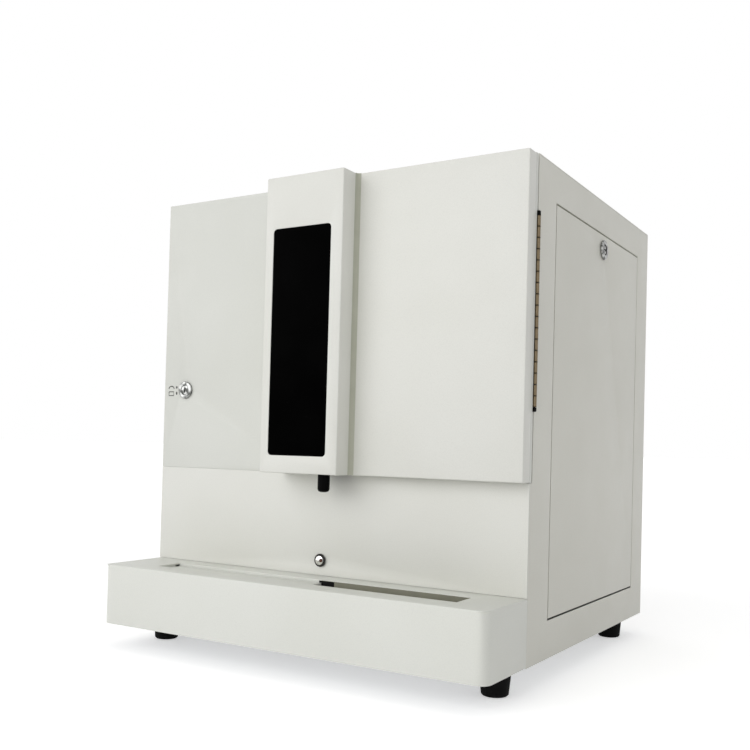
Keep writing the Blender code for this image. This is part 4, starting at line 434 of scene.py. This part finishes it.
def repeat_tree():
    """Sets one form on every point, facing one way and turned by chance about that way."""
    tree = bpy.data.node_groups.new("set_on_points", "GeometryNodeTree")
    kinds = (("Points", "NodeSocketGeometry"), ("Form", "NodeSocketObject"),
             ("Facing", "NodeSocketVector"), ("Most Turn", "NodeSocketFloat"),
             ("Seed", "NodeSocketInt"), ("Material", "NodeSocketMaterial"))
    for name, kind in kinds:
        tree.interface.new_socket(name, in_out="INPUT", socket_type=kind)
    tree.interface.new_socket("Geometry", in_out="OUTPUT", socket_type="NodeSocketGeometry")
    given = node(tree, "NodeGroupInput").outputs
    form = node(tree, "GeometryNodeObjectInfo", {"Object": given["Form"]})
    aimed = node(tree, "FunctionNodeAlignRotationToVector", {"Vector": given["Facing"]}, axis="Z")
    chance = node(tree, "FunctionNodeRandomValue", {3: given["Most Turn"], "Seed": given["Seed"]},
                  data_type="FLOAT")
    spin = node(tree, "FunctionNodeAxisAngleToRotation", {"Angle": chance.outputs[1]})
    turned = node(tree, "FunctionNodeRotateRotation", {
        "Rotation": aimed.outputs[0], "Rotate By": spin.outputs[0]}, rotation_space="LOCAL")
    placed = node(tree, "GeometryNodeInstanceOnPoints", {
        "Points": given["Points"], "Instance": form.outputs["Geometry"],
        "Rotation": turned.outputs[0]})
    solid = node(tree, "GeometryNodeRealizeInstances", {"Geometry": placed.outputs[0]})
    painted = node(tree, "GeometryNodeSetMaterial", {
        "Geometry": solid.outputs[0], "Material": given["Material"]})
    node(tree, "NodeGroupOutput", {"Geometry": painted.outputs[0]})
    return tree


REPEAT = repeat_tree()


def repeated(name, body, look, form, facing, places, turn=0.0, seed=1):
    """Screws, teeth and the like: one form, drawn at HOME, set on many places."""
    unit_mesh = bpy.data.meshes.new(name + "_unit")
    form.to_mesh(unit_mesh)
    smooth_to(unit_mesh, SHARP_PAST)
    unit = set_up(name + "_unit", unit_mesh)
    cloud = bpy.data.meshes.new(name + "_places")
    cloud.from_pydata([at(*place) for place in places], [], [])
    draft = set_up(name + "_draft", cloud)
    setting = draft.modifiers.new("repeat", "NODES")
    setting.node_group = REPEAT
    sockets = {item.name: item.identifier for item in REPEAT.interface.items_tree
               if item.in_out == "INPUT"}
    for key, value in (("Form", unit), ("Facing", FACING_VECTORS[facing]), ("Most Turn", turn),
                       ("Seed", seed), ("Material", look)):
        setting[sockets[key]] = value
    made = fixed_mesh(draft)
    bpy.data.objects.remove(unit, do_unlink=True)
    made.name = name
    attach(set_up(name, made), body)


BODY_OF = {part: body for body, parts in frame["record"]["behaviour"]["bodies"].items()
           for part in parts}


def refined(part, look, rounding_mm):
    """A copy of a CAD node with its sharp edges rounded, shown in the node's place."""
    bm = bmesh.new()
    bm.from_mesh(frame["nodes"][part].data)
    bmesh.ops.remove_doubles(bm, verts=bm.verts, dist=0.002 * MM)
    bmesh.ops.dissolve_limit(bm, angle_limit=math.radians(1), verts=bm.verts, edges=bm.edges)
    mesh = bpy.data.meshes.new(part + "_rounded")
    bm.to_mesh(mesh)
    bm.free()
    mesh.materials.clear()
    mesh.materials.append(look)
    draft = set_up(part + "_draft", mesh)
    bevel = draft.modifiers.new("rounding", "BEVEL")
    bevel.width = rounding_mm * MM
    bevel.segments = SHELL_CUTS
    bevel.limit_method = "ANGLE"
    bevel.angle_limit = math.radians(ROUNDED_PAST)
    bevel.use_clamp_overlap = True
    shell = fixed_mesh(draft)
    shell.name = part + "_shell"
    smooth_to(shell, SHELL_SHARP_PAST)
    ob = set_up(part + "_shell", shell)
    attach(ob, BODY_OF[part])
    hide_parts(part)


# Which look each CAD node has, and how far its edges are rounded (mm)
LOOKS = {
    "left_side_panel": (SIDE_COAT, 0.3), "right_side_frame": (SIDE_COAT, 0.3),
    "top_cover": (SIDE_COAT, 0.4), "rear_panel": (SIDE_COAT, 0.3),
    "lower_front_panel": (LOWER_COAT_PAINTED_LIGHTER, 0.4), "base_housing": (BASE_COAT_PAINTED_LIGHTER, 0.5),
    "front_door": (DOOR_COAT, 0.3), "raised_panel": (FRONT_COAT_PAINTED_LIGHTER, 0.3),
    "tower_cover": (FRONT_COAT_PAINTED_LIGHTER, 0.3), "service_panel": (SIDE_COAT, 0.3),
    "rack_carriage": (BASE_COAT_PAINTED_LIGHTER, 0.4), "floor_pan": (ZINC, 0.2), "base_floor": (ZINC, 0.2),
    "corner_frame": (ZINC, 0.2), "bulkhead": (ZINC, 0.2), "chassis_table": (ZINC, 0.3),
    "foot_front_left": (RUBBER, 0.6), "foot_front_right": (RUBBER, 0.6),
    "foot_rear_left": (RUBBER, 0.6), "foot_rear_right": (RUBBER, 0.6),
    "tower_window": (SMOKED, 0.25), "hinge_door_leaf": (BRONZE, 0.12),
    "hinge_cabinet_leaf": (BRONZE, 0.12), "hinge_pin": (SHADOW_BLACK, 0.2),
    "door_lock_housing": (CHROME, 0.4), "door_lock_plug": (CHROME, 0.2),
    "service_lock_housing": (CHROME, 0.4), "service_lock_plug": (CHROME, 0.2),
    "service_hinge_pin": (STEEL, 0.3), "button_bezel": (CHROME, 0.4),
    "button_cap": (CHROME, 0.4), "sampler_frame": (ALUMINIUM, 0.2),
    "z_motor": (MOTOR_BLACK, 1.2), "conveyor_motor": (MOTOR_BLACK, 1.2),
    "z_drive_pulley": (ALUMINIUM, 0.1), "z_idler_pulley": (ALUMINIUM, 0.1),
    "conveyor_drive_pulley": (ALUMINIUM, 0.1), "conveyor_idler_pulley": (ALUMINIUM, 0.1),
    "z_belt": (BELT, 0.2), "conveyor_belt": (BELT, 0.2), "probe_carriage": (ALUMINIUM, 0.6),
    "probe_needle": (STEEL, 0.1), "probe_guard": (BLACK, 0.4),
    "carriage_bearings": (BLACK, 0.4), "guide_rod_front": (STEEL, 0.3),
    "guide_rod_rear": (STEEL, 0.3), "rod_supports": (ALUMINIUM, 0.5),
    "microscope_stand": (PAINTED, 1.0), "focus_stage": (MOTOR_BLACK, 0.5),
    "flow_cell": (GLASS, 0.2), "objective": (CHROME, 0.4), "camera": (BLACK, 1.5),
    "syringe_drive": (PAINTED, 1.5), "syringe_barrel": (GLASS, 0.2),
    "syringe_plunger": (STEEL, 0.2), "power_supply": (ZINC, 0.8), "fan_housing": (BLACK, 0.5),
    "fan_rotor": (BLACK, 0.3), "power_inlet": (BLACK, 0.4), "power_switch": (BLACK, 0.3),
}
for part, (look, rounding) in LOOKS.items():
    refined(part, look, rounding)


# Front: hinge joints, lock and button trim, printed marks, door seal

def stroke(points, width):
    """The outline of a printed line of one width through flat points."""
    left, right = [], []
    for i, (u, v) in enumerate(points):
        u0, v0 = points[max(i - 1, 0)]
        u1, v1 = points[min(i + 1, len(points) - 1)]
        length = math.hypot(u1 - u0, v1 - v0)
        across = (-(v1 - v0) / length * width / 2, (u1 - u0) / length * width / 2)
        left.append((u + across[0], v + across[1]))
        right.append((u - across[0], v - across[1]))
    return left + right[::-1]


def ring_profile(inner, outer, low, high):
    """The closed profile of a plain ring."""
    return [(inner, low), (outer, low), (outer, high), (inner, high), (inner, low)]


def arc(u, v, radius_u, radius_v, start, end, steps=12):
    """Flat points along part of an ellipse about (u, v)."""
    turns = [math.radians(start + (end - start) * i / steps) for i in range(steps + 1)]
    return [(u + radius_u * math.cos(a), v + radius_v * math.sin(a)) for a in turns]


INK_LOW, INK_HIGH = 0.02, 0.09
DOOR_LOCK = (43.0, 0.0, 334.0)
SERVICE_LOCK = (600.0, 261.9, 549.6)
MARKS_AT = (14.0, 0.0, DOOR_LOCK[2])
MARKS = [stroke([(-5.6, 2.0)] + arc(-0.5, 2.6, 5.1, 3.4, 180, 0) + [(4.6, 2.0)], 1.5),
         stroke([(-5.4, -2.4), (4.2, -2.4), (4.2, -8.2), (-5.4, -8.2), (-5.4, -2.4)], 1.4),
         [(8.6, 2.4), (11.4, 2.9), (12.2, 5.2), (10.2, 6.4), (8.6, 5.2)],
         [(8.8, -5.6), (10.2, -7.4), (11.8, -6.2), (11.8, -3.0), (9.6, -2.2), (8.8, -3.4)]]
piece("door_lock_marks", "front_door", INK, add_outline,
      [(MARKS_AT, "-Y", mark, INK_LOW, INK_HIGH) for mark in MARKS], smooth=False)

HINGE_FOOT, HINGE_HEAD, KNUCKLES = 309.0, 543.0, 17
HINGE_PITCH = (HINGE_HEAD - HINGE_FOOT) / KNUCKLES
HINGE_LINE = (601.2, 7.75)
RING_BORE, RING_RADIUS, RING_HALF, RING_INSET = 2.51, 2.60, 0.3, 0.5
RING_PROFILE = ring_profile(RING_BORE, RING_RADIUS, -RING_HALF, RING_HALF)
# Near-black rings at both ends of each knuckle are painted shade of the gaps between the knuckles.
for first, leaf, body in ((0, "cabinet_leaf", "cabinet"), (1, "door_leaf", "front_door")):
    ring = bmesh.new()
    add_lathe(ring, HOME, "+Z", RING_PROFILE, RING_SIDES)
    ends = [HINGE_FOOT + HINGE_PITCH * i + shift for i in range(first, KNUCKLES, 2)
            for shift in (RING_INSET, HINGE_PITCH - RING_INSET)]
    repeated(leaf + "_rings", body, KNUCKLE_GAP_SHADE, ring, "+Z", [(*HINGE_LINE, z) for z in ends])

# Cam locks: a black ring round the plug, painted shade of the groove there, a keyway and a
# turned rim. Each lock is named as its plug's body
GROOVE_INNER, GROOVE_OUTER, GROOVE_DEPTH, GROOVE_PROUD = 7.25, 7.95, 1.0, 0.08
KEYWAY = [(-1.2, -4.2), (1.2, -4.2), (1.2, 0.6), (2.2, 1.6), (1.2, 4.0), (-1.2, 4.0)]
LOCKS = (("door_lock", "-Y", DOOR_LOCK, "front_door", 3.0),
         ("service_lock", "+X", SERVICE_LOCK, "service_panel", 3.3))
for name, facing, place, carrier, proud in LOCKS:
    groove = ring_profile(GROOVE_INNER, GROOVE_OUTER, proud - GROOVE_DEPTH, proud + GROOVE_PROUD)
    piece(name + "_groove", carrier, GAP_SHADE_BLACK, add_lathe, [(place, facing, groove)])
    # The keyway is a black plate: painted shade of the key slot.
    piece(name + "_keyway", name, SHADOW_BLACK, add_outline,
          [(place, facing, KEYWAY, proud - GROOVE_DEPTH, proud - 0.22)], smooth=False)
    piece(name + "_plug_face", name, CHROME_DULL_DARK_REFLECTION, add_lathe, [(place, facing, [
        (0.0, proud - 0.35), (5.6, proud - 0.35), (6.4, proud - 0.5), (6.9, proud - 0.9),
        (0.0, proud - 0.9)])])

# Push button: a black ring round the dome, painted shade of the gap at the bezel; the domed
# cap; and a small dark amber disc on the dome, a painted reflection of something dark it mirrors
BUTTON = (299.0, 0.0, 98.8)
piece("button_seal", "cabinet", GAP_SHADE_BLACK, add_lathe, [(BUTTON, "-Y", [
    (6.55, 1.6), (8.6, 1.6), (8.9, 2.2), (8.7, 2.7), (6.75, 2.7), (6.55, 2.5), (6.55, 1.6)])])
piece("button_dome", "start_button", CHROME_BRIGHT, add_lathe, [(BUTTON, "-Y", [
    (0.0, 3.6), (6.2, 3.6), (6.2, 3.95), (5.4, 4.5), (4.0, 4.95), (2.0, 5.25), (0.0, 5.35)])])
REFLECTION_SPOT = (BUTTON[0] + 3.6, 0.0, BUTTON[2] + 0.5)
piece("button_lens", "start_button", DARK_REFLECTION_AMBER, add_lathe, [(REFLECTION_SPOT, "-Y", [
    (0.0, 4.2), (2.5, 4.2), (2.5, 5.6), (1.8, 6.2), (0.0, 6.4)])])

# Folded ends of the carriage's slot
FLANGE_Z = (56.0, 75.8)
piece("slot_flanges", "cabinet", BASE_COAT_PAINTED_LIGHTER, add_slab, [
    ((69.2, 70.8, -76.0, -40.0, *FLANGE_Z), 0.2), ((544.2, 545.8, -76.0, -32.8, *FLANGE_Z), 0.2),
    ((71.0, 544.0, -78.2, -76.4, *FLANGE_Z), 0.2)])

# Dark olive sheet and a black block on the rear wall of the carriage's slot: painted shade of
# the body-coloured wall down in the slot, and a painted shadow by the carriage's end
piece("slot_liner", "cabinet", OLIVE_SHADE, add_slab, [
    ((324.0, 543.6, -32.74, -32.52, 43.5, 77.2), 0.05)])
piece("position_sensor", "cabinet", SHADOW_BLACK, add_slab, [
    ((320.0, 344.0, -32.86, -32.51, 60.0, 76.8), 0.04)])

# Coved fillet between the tower's right wall and the raised panel, in a darker olive grey: painted
# shade in the inner corner
COVE_X, COVE_Y, COVE_RADIUS, COVE_SKIN = 356.05, -21.05, 5.5, 0.05
COVE_FOOT, COVE_LENGTH = 217.7, 400.4
COVE = arc(COVE_X + COVE_RADIUS, COVE_Y - COVE_RADIUS, COVE_RADIUS, COVE_RADIUS, 180, 90, 16) + [
    (COVE_X + COVE_RADIUS, COVE_Y + COVE_SKIN), (COVE_X - COVE_SKIN, COVE_Y + COVE_SKIN),
    (COVE_X - COVE_SKIN, COVE_Y - COVE_RADIUS)]
piece("tower_cove", "front_door", CORNER_SHADE_OLIVE, add_outline,
      [((0.0, 0.0, COVE_FOOT), "+Z", COVE, 0.0, COVE_LENGTH)])

# Seal in the joint round the service panel, along its top and its front edge; its dark olive is
# painted shade of the joint
PANEL_SEAL_X = (598.0, 599.1)
piece("service_panel_seal", "cabinet", OLIVE_SHADE, add_slab, [
    ((*PANEL_SEAL_X, 70.2, 437.8, 570.9, 572.8), 0.2),
    ((*PANEL_SEAL_X, 70.2, 72.1, 42.4, 570.6), 0.2)])

# Painted rubber bead in the joint under the door
piece("sill_bead", "cabinet", DOOR_COAT, add_slab, [
    ((0.6, 229.0, 0.35, 2.5, 216.82, 217.22), 0.06)])

# Foam seal stuck to the inside of the door, along its left, top and bottom edges
DOOR_SEAL_Y = (6.5, 8.8)
piece("door_seal", "front_door", FOAM, add_slab, [
    ((3.2, 9.0, *DOOR_SEAL_Y, 226.0, 612.0), 0.8), ((9.2, 570.0, *DOOR_SEAL_Y, 606.0, 612.0), 0.8),
    ((9.2, 570.0, *DOOR_SEAL_Y, 220.0, 226.0), 0.8)])


# Screws, rivets and belt teeth

# The most that chance turns a screw's socket, in radians
SCREW_TURN = 1.0


def screw_form(radius, height):
    """A pan head with a six-sided socket, drawn round the frame's zero point."""
    form = bmesh.new()
    half_side = math.radians(30)
    rings = []
    for share, rise, six_sided in ((1.0, 0.0, False), (1.0, 0.35, False), (0.92, 0.72, False),
                                   (0.72, 1.0, False), (0.5, 1.0, True), (0.5, 0.4, True)):
        ring = []
        for i in range(SCREW_SIDES):
            angle = math.tau * i / SCREW_SIDES
            flat = math.cos(half_side) / math.cos(angle % (2 * half_side) - half_side)
            reach = radius * share * (flat if six_sided else 1.0) * MM
            ring.append(form.verts.new((reach * math.cos(angle), reach * math.sin(angle),
                                        height * rise * MM)))
        rings.append(ring)
    for low, high in zip(rings, rings[1:]):
        for i in range(SCREW_SIDES):
            j = (i + 1) % SCREW_SIDES
            form.faces.new((low[i], low[j], high[j], high[i]))
    form.faces.new(rings[0][::-1])
    form.faces.new(rings[-1])
    return form


def rivet_form(radius, height):
    """A domed head, drawn at HOME."""
    form = bmesh.new()
    add_lathe(form, HOME, "+Z", [(0.0, 0.0), (radius, 0.0), (0.86 * radius, 0.55 * height),
                                 (0.5 * radius, 0.9 * height), (0.0, height)], RIVET_SIDES)
    return form


def tooth_form(length, width, height):
    """A plain block for belt teeth, clips and slots, drawn at HOME."""
    form = bmesh.new()
    half, edge = width / 2, length / 2
    add_outline(form, HOME, "+Z", [(-edge, -half), (edge, -half), (edge, half), (-edge, half)],
                0.0, height)
    return form


def row(start, end, count):
    """Evenly spaced places from start to end."""
    shares = [i / (count - 1) for i in range(count)]
    return [tuple(a + (b - a) * share for a, b in zip(start, end)) for share in shares]


# The rear panel's outer face: its own screws, the fan's, the inlet's, the plate and the earth
REAR_Y = 495.0
RIM_FOOT, RIM_HEAD, RIM_TOP = 20, 605, 608
RIM = [place for x in (10, 590) for place in row((x, REAR_Y, RIM_FOOT), (x, REAR_Y, RIM_HEAD), 7)]
RIM += row((105, REAR_Y, RIM_TOP), (495, REAR_Y, RIM_TOP), 5)
repeated("rear_panel_screws", "cabinet", STEEL, screw_form(3.0, 1.8), "+Y", RIM,
         SCREW_TURN, 4)

# Screws of the fan and of the inlet
FAN_X, FAN_Z, FAN_SCREWS = 120.0, 460.0, (-52.5, 52.5)
repeated("fan_screws", "cabinet", STEEL, screw_form(3.4, 2.0), "+Y",
         [(FAN_X + x, REAR_Y, FAN_Z + z) for x in FAN_SCREWS for z in FAN_SCREWS],
         SCREW_TURN, 7)
repeated("inlet_screws", "cabinet", STEEL, screw_form(2.4, 1.2), "+Y",
         [(482.5, 498.3, 60.0), (517.5, 498.3, 60.0)], SCREW_TURN, 9)

# Blank rating plate, riveted on
PLATE_FACE_Y = REAR_Y + 0.6
PLATE = (250.0, 340.0, REAR_Y, PLATE_FACE_Y, 60.0, 112.0)
piece("rating_plate_blank", "cabinet", PLATE_METAL, add_slab, [(PLATE, 0.25)])
repeated("rating_plate_rivets", "cabinet", ALUMINIUM, rivet_form(1.8, 1.0), "+Y",
         [(x, PLATE_FACE_Y, z) for x in (255.0, 335.0) for z in (65.0, 107.0)])

# Earth stud with its nut, below its printed symbol
EARTH_X, SYMBOL_Z, STUD_Z = 462.0, 60.0, 44.0
BARS = [[(0, -5), (0, 0)], [(-4, 0), (4, 0)], [(-2.6, 1.8), (2.6, 1.8)], [(-1.2, 3.6), (1.2, 3.6)]]
piece("earth_symbol", "cabinet", INK, add_outline,
      [((EARTH_X, REAR_Y, SYMBOL_Z), "+Y", stroke(bar, 0.9), INK_LOW, INK_HIGH) for bar in BARS],
      smooth=False)
STUD = (EARTH_X, REAR_Y, STUD_Z)
piece("earth_stud", "cabinet", BRASS, add_lathe, [(STUD, "+Y", [
    (0.0, 0.0), (6.0, 0.0), (6.0, 1.0), (2.4, 1.0), (2.4, 9.0), (1.9, 9.6), (0.0, 9.6)])])
HEXAGON = arc(0, 0, 4.4, 4.4, 0, 300, 5)
piece("earth_nut", "cabinet", BRASS, add_outline, [(STUD, "+Y", HEXAGON, 1.1, 4.6)], smooth=False)


# Inside: motors' end caps, belt teeth, wiring, hoses, circuit board, microscope trim

# The bulkhead's front face, which carries the board, the loom and its grommets
WALL_Y = 90.0

# Teeth on both runs of the lift belt
Z_BELT_X, Z_BELT_REACH, Z_BELT_Y = 283.0, 9.05, 2.0
Z_TEETH_FOOT, Z_TEETH_HEAD, Z_TEETH = 268.0, 558.0, 117
for run, facing, belt_x in (("left", "+X", Z_BELT_X - Z_BELT_REACH),
                            ("right", "-X", Z_BELT_X + Z_BELT_REACH)):
    repeated("z_belt_teeth_" + run, "cabinet", BELT, tooth_form(5.4, 1.3, 0.7), facing,
             row((belt_x, Z_BELT_Y, Z_TEETH_FOOT), (belt_x, Z_BELT_Y, Z_TEETH_HEAD), Z_TEETH))

# End caps of the lift motor
MOTOR_X, MOTOR_Z = (261.7, 304.3), (544.7, 587.3)
piece("z_motor_caps", "cabinet", ALUMINIUM, add_slab, [
    ((*MOTOR_X, *depth, *MOTOR_Z), 1.6) for depth in ((14.2, 21.5), (41.0, 48.4))])

# Loom down the bulkhead, the lift motor's cable and the clips that hold them
THICK_CABLE = [(410, 87, 596), (410, 86.6, 500), (409, 86.6, 380), (410, 86.6, 260), (410, 87, 138)]
THIN_CABLE = [(404, 87, 596), (404, 86.8, 500), (405, 86.8, 380), (404, 86.8, 260), (404, 87, 138)]
piece("wiring_loom", "cabinet", CABLE, add_tube, [(THICK_CABLE, 2.4), (THIN_CABLE, 1.8)])
Z_MOTOR_CABLE = [(304, 31, 560), (316, 31, 560), (332, 40, 566), (352, 66, 580), (372, 84, 590),
                 (398, 88, 596)]
piece("z_motor_cable", "cabinet", CABLE, add_tube, [(Z_MOTOR_CABLE, 2.0)])
repeated("loom_clips", "cabinet", BLACK, tooth_form(16.0, 7.0, 6.4), "-Y",
         row((407, WALL_Y, 170), (407, WALL_Y, 570), 6))

# Circuit board on four pillars, with chips, sockets, capacitors and two cables
BOARD_Y = 80.4
BOARD = (70.0, 210.0, BOARD_Y, 82.0, 380.0, 500.0)
BOARD_CORNERS = [(x, z) for x in (76, 204) for z in (386, 494)]
piece("control_board", "cabinet", BOARD_GREEN, add_slab, [(BOARD, 0.2)])
CHIP_BACK_Y = 80.3
CHIPS = [(96, 124, 77.9, 430, 458, 0.3), (140, 158, 78.4, 440, 452, 0.3),
         (140, 158, 78.4, 418, 430, 0.3), (96, 110, 78.6, 398, 408, 0.3),
         (172, 200, 72.0, 470, 482, 0.6), (172, 200, 72.0, 452, 464, 0.6)]
piece("control_board_chips", "cabinet", BLACK, add_slab, [
    ((x0, x1, y0, CHIP_BACK_Y, z0, z1), rounding) for x0, x1, y0, z0, z1, rounding in CHIPS])
piece("control_board_cans", "cabinet", ALUMINIUM, add_lathe, [
    ((x, CHIP_BACK_Y, 482), "-Y", [(0.0, 0.0), (5.0, 0.0), (5.0, 1.6), (4.7, 2.0), (5.0, 2.4),
                                   (5.0, 11.0), (4.4, 11.8), (0.0, 11.8)]) for x in (88, 104, 120)])
piece("control_board_pillars", "cabinet", BRASS, add_lathe, [
    ((x, WALL_Y, z), "-Y", [(0.0, 0.0), (3.0, 0.0), (3.0, 7.9), (0.0, 7.9)])
    for x, z in BOARD_CORNERS])
repeated("control_board_screws", "cabinet", STEEL, screw_form(2.6, 1.6), "-Y",
         [(x, BOARD_Y, z) for x, z in BOARD_CORNERS], SCREW_TURN, 3)
BOARD_CABLES = [
    [(186, 75, 476), (186, 66, 476), (206, 62, 500), (218, 72, 540), (220, 80, 560), (221, 89, 566)],
    [(186, 75, 458), (186, 64, 458), (208, 58, 474), (226, 68, 520), (229, 78, 554), (230, 89, 566)]]
piece("board_cables", "cabinet", CABLE, add_tube, [(route, 1.9) for route in BOARD_CABLES])

# Grommets where the cables and the hose pass the bulkhead
GROMMETS = [(225.5, 566.0), (407.0, 597.0), (407.0, 137.0), (462.0, 514.0)]
piece("wall_grommets", "cabinet", RUBBER, add_lathe, [((x, WALL_Y, z), "-Y", [
    (0.0, 0.0), (9.0, 0.0), (9.0, 1.4), (7.4, 2.6), (0.0, 2.6)]) for x, z in GROMMETS])

# Hose from the syringe's fitting to the bulkhead
SYRINGE_X, SYRINGE_Y = 450, 42.7
HOSE = [(SYRINGE_X, SYRINGE_Y, 458), (SYRINGE_X, SYRINGE_Y, 478), (452, 50, 500), (460, 70, 512),
        (462, 89.5, 514)]
piece("syringe_hose", "cabinet", SILICONE, add_tube, [(HOSE, 1.6)])
piece("syringe_fitting", "cabinet", BLACK, add_lathe, [((SYRINGE_X, SYRINGE_Y, 458.5), "+Z", [
    (0.0, 0.0), (6.0, 0.0), (6.0, 5.0), (3.4, 6.0), (3.0, 12.0), (2.2, 12.6), (0.0, 12.6)])])
repeated("syringe_drive_screws", "cabinet", STEEL, screw_form(2.4, 1.4), "-Y",
         [(x, 50.0, z) for x in (426, 474) for z in (306, 464)], SCREW_TURN, 5)

# Microscope: knurled rings, the camera's cooling fins, its plug and its cable
KNURLS = [(0.0, 0.0), (12.3, 0.0), (12.3, 0.6), (12.0, 1.0), (12.3, 1.4), (12.3, 2.0),
          (12.0, 2.4), (12.3, 2.8), (12.3, 3.4), (0.0, 3.4)]
OPTIC_X, OPTIC_Y, PLUG_Z = 430, 240, 392
FIN_X, FIN_Y, FIN_THICKNESS = (407.4, 452.6), (217.4, 262.6), 1.4
piece("objective_rings", "cabinet", BLACK, add_lathe, [
    ((OPTIC_X, OPTIC_Y, z), "+Z", KNURLS) for z in (268.0, 288.0)])
piece("camera_fins", "cabinet", MOTOR_BLACK, add_slab, [
    ((*FIN_X, *FIN_Y, z, z + FIN_THICKNESS), 0.3) for z in range(368, 400, 4)])
piece("camera_plug", "cabinet", BLACK, add_lathe, [((OPTIC_X, 262, PLUG_Z), "+Y", [
    (0.0, 0.0), (6.0, 0.0), (6.0, 8.0), (4.6, 9.0), (3.2, 16.0), (0.0, 16.0)])])
CAMERA_CABLE = [(OPTIC_X, 276, PLUG_Z), (OPTIC_X, 300, PLUG_Z), (432, 322, 380), (436, 334, 340),
                (436, 336, 250), (436, 338, 132)]
piece("camera_cable", "cabinet", CABLE, add_tube, [(CAMERA_CABLE, 2.2)])
piece("table_grommet", "cabinet", RUBBER, add_lathe, [((436, 338, 130), "+Z", [
    (0.0, 0.0), (7.0, 0.0), (7.0, 1.4), (5.6, 2.6), (0.0, 2.6)])])

# Power supply: terminal strip, vent slots and the wires from the inlet
piece("supply_terminals", "cabinet", BLACK, add_slab, [
    ((390, 470, 392, 399.6, 51.9, 62.0), 0.5)])
repeated("supply_terminal_screws", "cabinet", BRASS, screw_form(2.2, 1.2), "+Z",
         row((396, 395.8, 62.0), (464, 395.8, 62.0), 7), SCREW_TURN, 2)
SUPPLY_TOP_Z = 51.8
# Vent slots are thin black plates on the supply's top: painted shade of the slots.
repeated("supply_slots", "cabinet", SHADOW_BLACK, tooth_form(60.0, 1.6, 0.12), "+Z",
         row((430, 230, SUPPLY_TOP_Z), (430, 370, SUPPLY_TOP_Z), 15))
piece("mains_wires", "cabinet", CABLE, add_tube, [
    ([(396 + 11 * i, 399, 57), (398 + 12 * i, 412, 57), (440 + 10 * i, 440, 48 + 4 * i),
      (488 + 10 * i, 462, 56), (490 + 10 * i, 473, 60)], 1.5) for i in range(3)])


# Floor, lights and camera

FLOOR_REACH = 60.0
FLOOR_DROP = 0.2 * MM
FLOOR_GLOW = 0.44
WORLD_LEVEL = 0.55
KEY_FROM, KEY_STRENGTH, KEY_SPREAD = (-0.42, -1.0, 0.25), 1.65, 70
FILL_FROM, FILL_STRENGTH, FILL_SPREAD = (1.0, -0.4, 0.2), 0.12, 80


def direct_sight(tree):
    """1 for what is seen straight, in a reflection or through glass, and 0 for light on surfaces."""
    path = node(tree, "ShaderNodeLightPath").outputs
    mirrored = node(tree, "ShaderNodeMath", {0: path["Is Camera Ray"], 1: path["Is Glossy Ray"]},
                    operation="MAXIMUM")
    seen = node(tree, "ShaderNodeMath", {0: mirrored.outputs[0], 1: path["Is Transmission Ray"]},
                operation="MAXIMUM")
    return seen.outputs[0]


def floor_look():
    """White paper backdrop: matt, and lit, so that only the object's own shade darkens it."""
    material = finish("white_paper_backdrop", [
        {"mm": 400, "tone": ("#f5f5f5", "#f8f8f8")},
        {"mm": 3, "depth_mm": 0.02}], Roughness=0.9, Emission_Color=WHITE)
    tree = material.node_tree
    glow = node(tree, "ShaderNodeMath", {0: direct_sight(tree), 1: FLOOR_GLOW},
                operation="MULTIPLY")
    shader = tree.nodes["Principled BSDF"]
    tree.links.new(glow.outputs[0], shader.inputs["Emission Strength"])
    return material


def add_floor():
    bm = bmesh.new()
    level = CAD_BOX[0][2] - FLOOR_DROP
    corners = [bm.verts.new((x * FLOOR_REACH, y * FLOOR_REACH, level))
               for x, y in ((-1, -1), (1, -1), (1, 1), (-1, 1))]
    bm.faces.new(corners)
    mesh = bpy.data.meshes.new("floor")
    bm.to_mesh(mesh)
    bm.free()
    mesh.materials.append(floor_look())
    set_up("floor", mesh)


def add_world(strength):
    """White where it is seen, and a plain dimmer light on surfaces."""
    world = bpy.data.worlds.new("studio")
    bpy.context.scene.world = world
    world.use_nodes = True
    tree = world.node_tree
    back = tree.nodes["Background"]
    back.inputs["Color"].default_value = WHITE
    level = node(tree, "ShaderNodeMix", {"Factor": direct_sight(tree), "A": strength, "B": 1.0})
    tree.links.new(level.outputs["Result"], back.inputs["Strength"])


def add_sun(name, source, strength, spread):
    """A wide, soft lamp far away, so that the floor is lit alike up to the horizon."""
    light = bpy.data.lights.new(name, "SUN")
    light.energy = strength
    light.angle = math.radians(spread)
    ob = set_up(name, light)
    ob.rotation_euler = (-Vector(source)).to_track_quat("-Z", "Y").to_euler()


def add_camera():
    """Places the camera by its turn, rise and roll; its optical axis lies below the middle."""
    turn, rise, roll = (math.radians(a) for a in (TURN, RISE, ROLL))
    ahead = Vector((-math.sin(turn) * math.cos(rise), math.cos(turn) * math.cos(rise),
                    -math.sin(rise)))
    level = Vector((math.cos(turn), math.sin(turn), 0.0))
    upright = level.cross(ahead)
    right = level * math.cos(roll) - upright * math.sin(roll)
    up = level * math.sin(roll) + upright * math.cos(roll)
    camera = bpy.data.cameras.new("photo_camera")
    camera.sensor_fit = "HORIZONTAL"
    camera.sensor_width = SENSOR_MM
    camera.lens = FOCAL_PX / PICTURE * SENSOR_MM
    camera.shift_y = (AXIS_ROW_PX - PICTURE / 2) / PICTURE
    ob = set_up("photo_camera", camera)
    turned = Matrix((right, up, -ahead)).transposed().to_4x4()
    ob.matrix_world = Matrix.Translation(CABINET + EYE) @ turned
    bpy.context.scene.camera = ob


add_floor()
add_world(WORLD_LEVEL)
add_sun("key_front_left", KEY_FROM, KEY_STRENGTH, KEY_SPREAD)
add_sun("fill_right", FILL_FROM, FILL_STRENGTH, FILL_SPREAD)
add_camera()
bpy.context.scene.view_settings.view_transform = "Standard"
